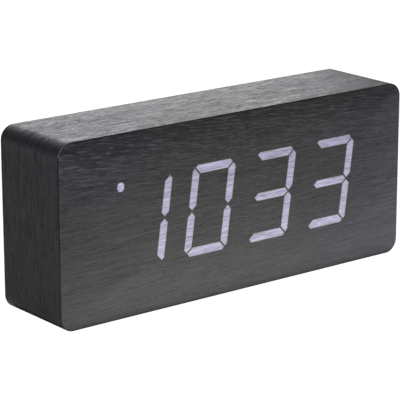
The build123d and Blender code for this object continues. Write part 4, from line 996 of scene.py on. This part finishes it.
# %% [markdown]
# ## Pale ink
# The marks and the two words at the back are printed in pale grey ink, which is never quite
# even, so a fine noise moves its grey a little.

# %% Mix the ink
INK_SPECKS_PER_METRE = (1500, 1500, 1500)
INK_TONES = [(0.3, (0.48, 0.48, 0.49)), (0.7, (0.62, 0.62, 0.63))]

printed_ink, ink_tree, ink_shader = new_finish("printed_ink", (0.55, 0.55, 0.56), roughness=0.6)
ink_specks = stretched_noise(ink_tree, INK_SPECKS_PER_METRE)
feed(ink_shader, {"Base Color": toned(ink_tree, ink_specks, INK_TONES)})
print("ink:", printed_ink.name)

# %% [markdown]
# ## Marks for the hand
# The controls at the back are worked by feel, so the buttons have raised marks: a triangle
# that points up, one that points down, and a bar on the button that sets. They could be
# drawn into the finish, but a low prism with eased edges catches the light like the real one.

# %% Raise the marks on the buttons
DISH_DEPTH = 0.35 * MM
MARK_SIZE = 2.6 * MM
MARK_RISE = 0.22 * MM
MARK_SUNK = 0.15 * MM
MARK_EASING = 0.06 * MM
BAR_SHARE = 1 / 3
TRIANGLE_FOOT = 0.7


def mark_outline(use):
    """The mark of a button, about its middle, as (x, z)."""
    half = MARK_SIZE / 2
    if use == "set":
        flat = half * BAR_SHARE
        return [(-half, -flat), (half, -flat), (half, flat), (-half, flat)]
    tip = half if use == "up" else -half
    foot = -tip * TRIANGLE_FOOT
    return [(0, tip), (half, foot), (-half, foot)]


def raised_mark(name, outline, middle, front, rear, finish, body):
    """A low prism with eased edges between two depths along Y."""
    mark = bmesh.new()
    loop_edges(mark, [(middle.x + x, middle.z + z) for x, z in outline], front)
    bmesh.ops.contextual_create(mark, geom=mark.edges[:])
    thicken(mark, rear - front)
    top_edges = [e for e in mark.edges if all(abs(v.co.y - rear) < SAME_PLACE for v in e.verts)]
    ease(mark, top_edges, MARK_EASING)
    return place_piece(name, mark, finish, body)


for use in BUTTONS:
    low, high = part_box(f"{use}_button")
    dish = high.y - DISH_DEPTH
    mark = raised_mark(
        f"{use}_button_mark", mark_outline(use), (low + high) / 2,
        dish - MARK_SUNK, dish + MARK_RISE, printed_ink, f"{use}_button",
    )
print(len(BUTTONS), "raised marks")

# %% [markdown]
# ## ON and OFF
# The switch that turns the sound control on and off has the two words printed beside it, a
# few hundredths of a millimetre thick, on the panel's floor. Blender's text object draws
# them, and is then turned into a mesh, so that they are pieces like any other. They face
# the back, where the right hand is at -X.

# %% Print the two words
PANEL_RECESS = 2.2 * MM
LETTER_HEIGHT = 1.7 * MM
CAPITAL_SHARE = 0.7
INK_THICKNESS = 0.03 * MM
WORD_RISE = 4.2 * MM
WORD_SPREAD = 2.9 * MM
FACING_BACK = Matrix(((-1, 0, 0), (0, 0, 1), (0, 1, 0))).to_4x4()

panel_floor_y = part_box("rear_veneer")[1].y - PANEL_RECESS


def printed_word(word, x, z):
    """A printed word on the panel's floor, centred at x and z."""
    lettering = bpy.data.curves.new(f"word_{word.lower()}", "FONT")
    lettering.body = word
    lettering.size = LETTER_HEIGHT / CAPITAL_SHARE
    lettering.extrude = INK_THICKNESS / 2
    lettering.align_x = "CENTER"
    lettering.align_y = "CENTER"
    letters = into_scene(f"letters_{word.lower()}", lettering)
    bpy.context.view_layer.update()
    data = bpy.data.meshes.new_from_object(letters.evaluated_get(bpy.context.evaluated_depsgraph_get()))
    bpy.data.objects.remove(letters)
    data.transform(Matrix.Translation((x, panel_floor_y + INK_THICKNESS / 2, z)) @ FACING_BACK)
    data.materials.clear()
    data.materials.append(printed_ink)
    piece = into_scene(f"printed_{word.lower()}", data)
    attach(piece, "clock")
    return piece


switch_low, switch_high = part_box("slide_switch_body")
switch_x = (switch_low.x + switch_high.x) / 2
words = {"OFF": -WORD_SPREAD, "ON": WORD_SPREAD}
for word, aside in words.items():
    printed_word(word, switch_x + aside, CASE_MIDDLE.z + WORD_RISE)
print("printed words:", *words)

# %% [markdown]
# ## Plain white behind
# The clock stands in a white surrounding that fills the view. Paper that is lit brightly
# enough looks plain white to a camera, but lighting it that brightly here would also change
# what the dark wood mirrors. So what is seen directly is set to plain white, and light and
# reflections still meet the real surface.

# %% Show plain white behind
PLAIN_WHITE = 1.1


def seen_as_white(tree, otherwise):
    """Plain white where it is seen directly, and this surface for all other light."""
    plain = put(tree, "Emission", {"Strength": PLAIN_WHITE}).outputs["Emission"]
    directly = put(tree, "LightPath", {}).outputs["Is Camera Ray"]
    return put(tree, "MixShader", {0: directly, 1: otherwise, 2: plain}).outputs["Shader"]


print("the surroundings are seen at", PLAIN_WHITE, "times white")

# %% [markdown]
# ## The table
# The clock stands on a plain white table, wide enough to fill the view. It isn't part of the
# object. It lies a hair below the pads, and seen from underneath it is clear, so that the
# clock's underside can be seen.

# %% Lay the table
TABLE_SIZE = 12.0
TABLE_DROP = 0.05 * MM
TABLE_SHEEN = 0.1

table_mesh = bmesh.new()
bmesh.ops.create_grid(table_mesh, x_segments=1, y_segments=1, size=TABLE_SIZE / 2)
table_data = bpy.data.meshes.new("table")
table_mesh.to_mesh(table_data)
table_mesh.free()
table = into_scene("table", table_data)
table_white, table_tree, table_shader = new_finish("table_white", (0.8, 0.8, 0.8), roughness=0.9)
feed(table_shader, {"Specular IOR Level": TABLE_SHEEN})
table_data.materials.append(table_white)
table.location.z = -TABLE_DROP

surface = seen_as_white(table_tree, table_shader.outputs["BSDF"])
from_below = put(table_tree, "NewGeometry", {}).outputs["Backfacing"]
clear = put(table_tree, "BsdfTransparent", {}).outputs["BSDF"]
one_sided = put(table_tree, "MixShader", {0: from_below, 1: surface, 2: clear})
feed(table_tree.nodes["Material Output"], {"Surface": one_sided.outputs["Shader"]})
print("table:", TABLE_SIZE, "m wide")

# %% [markdown]
# ## Light from the table
# Black wood shows mostly what it mirrors, and the front mirrors the table. Lit through from
# below, the table makes the lower front paler and lets the upper front stay dark: a weak
# glow all over, and in front of the clock a stronger pool that fades out in a long oval.
# Just inside the foot of the case the table lies in shade, which the rounded lower edge
# mirrors as a dark line. Farther in it glows again, so that the underside isn't black.

# %% Light the table from below
TABLE_GLOW = 0.5
POOL_GLOW = 3.9
POOL_MIDDLE = Vector((-22, -60, 0)) * MM
POOL_REACH = Vector((400, 112, 1000)) * MM
POOL_EDGE = 4 * MM
GLOW_BENEATH = 3.0
SHADE_REACH = 4 * MM
SHADE_EDGE = 1.5 * MM


def glow_pool(tree):
    """An oval pool in front of the clock, from 0 at its edge to 1 in its middle."""
    values = {"Vector": own_place(tree), "Location": POOL_MIDDLE, "Scale": POOL_REACH}
    spread = put(tree, "Mapping", values, vector_type="TEXTURE").outputs["Vector"]
    pool = put(tree, "TexGradient", {"Vector": spread}, gradient_type="SPHERICAL").outputs["Fac"]
    in_front = between(tree, own_axes(tree)["Y"], 1.0, 0.0, FRONT_Y - POOL_EDGE, FRONT_Y)
    return combine(tree, "MULTIPLY", pool, in_front)


def past_the_case(tree):
    """How far outside the case's footprint a place is, and below zero under the case."""
    place = own_axes(tree)
    past_end = combine(tree, "SUBTRACT", combine(tree, "ABSOLUTE", place["X"], 0.0), front_high.x)
    past_rear = combine(tree, "SUBTRACT", place["Y"], STRIP_REAR)
    past_front = combine(tree, "SUBTRACT", FRONT_Y, place["Y"])
    return combine(tree, "MAXIMUM", combine(tree, "MAXIMUM", past_end, past_rear), past_front)


outside = past_the_case(table_tree)
uncovered = between(table_tree, outside, 0.0, 1.0, 0.0, SHADE_EDGE)
beneath = between(table_tree, outside, GLOW_BENEATH, 0.0, -SHADE_REACH - SHADE_EDGE, -SHADE_REACH)
glow = between(table_tree, glow_pool(table_tree), TABLE_GLOW, POOL_GLOW)
strength = combine(table_tree, "MULTIPLY", glow, combine(table_tree, "ADD", uncovered, beneath))
feed(table_shader, {"Emission Color": (*WHITE, 1), "Emission Strength": strength})
table_white.cycles.emission_sampling = "NONE"
print("the table glows from", TABLE_GLOW, "to", POOL_GLOW)

# %% [markdown]
# ## The light
# A large soft panel hangs above the clock, and a smaller one stands behind it on the right,
# where the top of the clock mirrors it towards the eye. That makes the top the brightest
# face, and the front is lit mostly by the table. The room looks white but gives off only a
# little light, so that the front has something dark to mirror.

# %% Hang the lights
ROOM_GLOW = 0.1
COOL_WHITE = (0.985, 0.965, 1.0)

world = bpy.data.worlds.new("white_room")
scene.world = world
world.use_nodes = True
room = world.node_tree
own_light = room.nodes["Background"]
feed(own_light, {"Color": (*WHITE, 1), "Strength": ROOM_GLOW})
feed(room.nodes["World Output"], {"Surface": seen_as_white(room, own_light.outputs["Background"])})


def soft_panel(name, place, aim, size, watts, colour=WHITE):
    """A soft flat light at place that looks at aim."""
    light = bpy.data.lights.new(name, "AREA")
    light.shape = "RECTANGLE"
    light.size, light.size_y = size
    light.energy = watts
    light.color = colour
    lamp = into_scene(name, light)
    lamp.location = place
    lamp.visible_camera = False
    lamp.rotation_mode = "QUATERNION"
    lamp.rotation_quaternion = (Vector(aim) - Vector(place)).to_track_quat("-Z", "Y")
    return lamp


panels = [
    soft_panel("overhead_panel", place=(0.0, 0.25, 1.1), aim=(0, 0.1, 0), size=(1.6, 1.2), watts=7),
    soft_panel(
        "rear_panel", place=(0.25, 0.6, 0.31), aim=(0, 0, 0.09),
        size=(0.64, 0.36), watts=3.52, colour=COOL_WHITE,
    ),
]
print({lamp.name: round(lamp.data.energy, 2) for lamp in panels}, "watts")

# %% [markdown]
# ## The camera
# The camera looks from the front left and a little from above. It is set by how far round
# and how far up it stands, a trace of roll, its distance and the point it looks at, which is
# easier to think about than a position and three rotations. A long lens from a metre away
# keeps the case's edges nearly parallel.

# %% Set up the camera
AZIMUTH = math.radians(-38.16)
ELEVATION = math.radians(15.66)
ROLL = math.radians(0.11)
DISTANCE = 1.003
AIM = Vector((-5.7, 0.0, 42.1)) * MM
LENS_MM = 184.4
SENSOR_MM = 36
NEAREST = 0.05

level_back = Vector((math.sin(AZIMUTH), -math.cos(AZIMUTH), 0))
back = level_back * math.cos(ELEVATION) + Vector((0, 0, math.sin(ELEVATION)))
level_right = Vector((math.cos(AZIMUTH), math.sin(AZIMUTH), 0))
level_up = back.cross(level_right)
right = level_right * math.cos(ROLL) - level_up * math.sin(ROLL)
up = level_right * math.sin(ROLL) + level_up * math.cos(ROLL)
turned = Matrix((right, up, back)).transposed().to_4x4()
lens = bpy.data.cameras.new("camera")
lens.lens = LENS_MM
lens.sensor_width = SENSOR_MM
lens.clip_start = NEAREST
camera = into_scene("camera", lens)
camera.matrix_world = Matrix.Translation(AIM + back * DISTANCE) @ turned
scene.camera = camera
scene.view_settings.view_transform = "Standard"
print("camera", DISTANCE, "m from the clock")
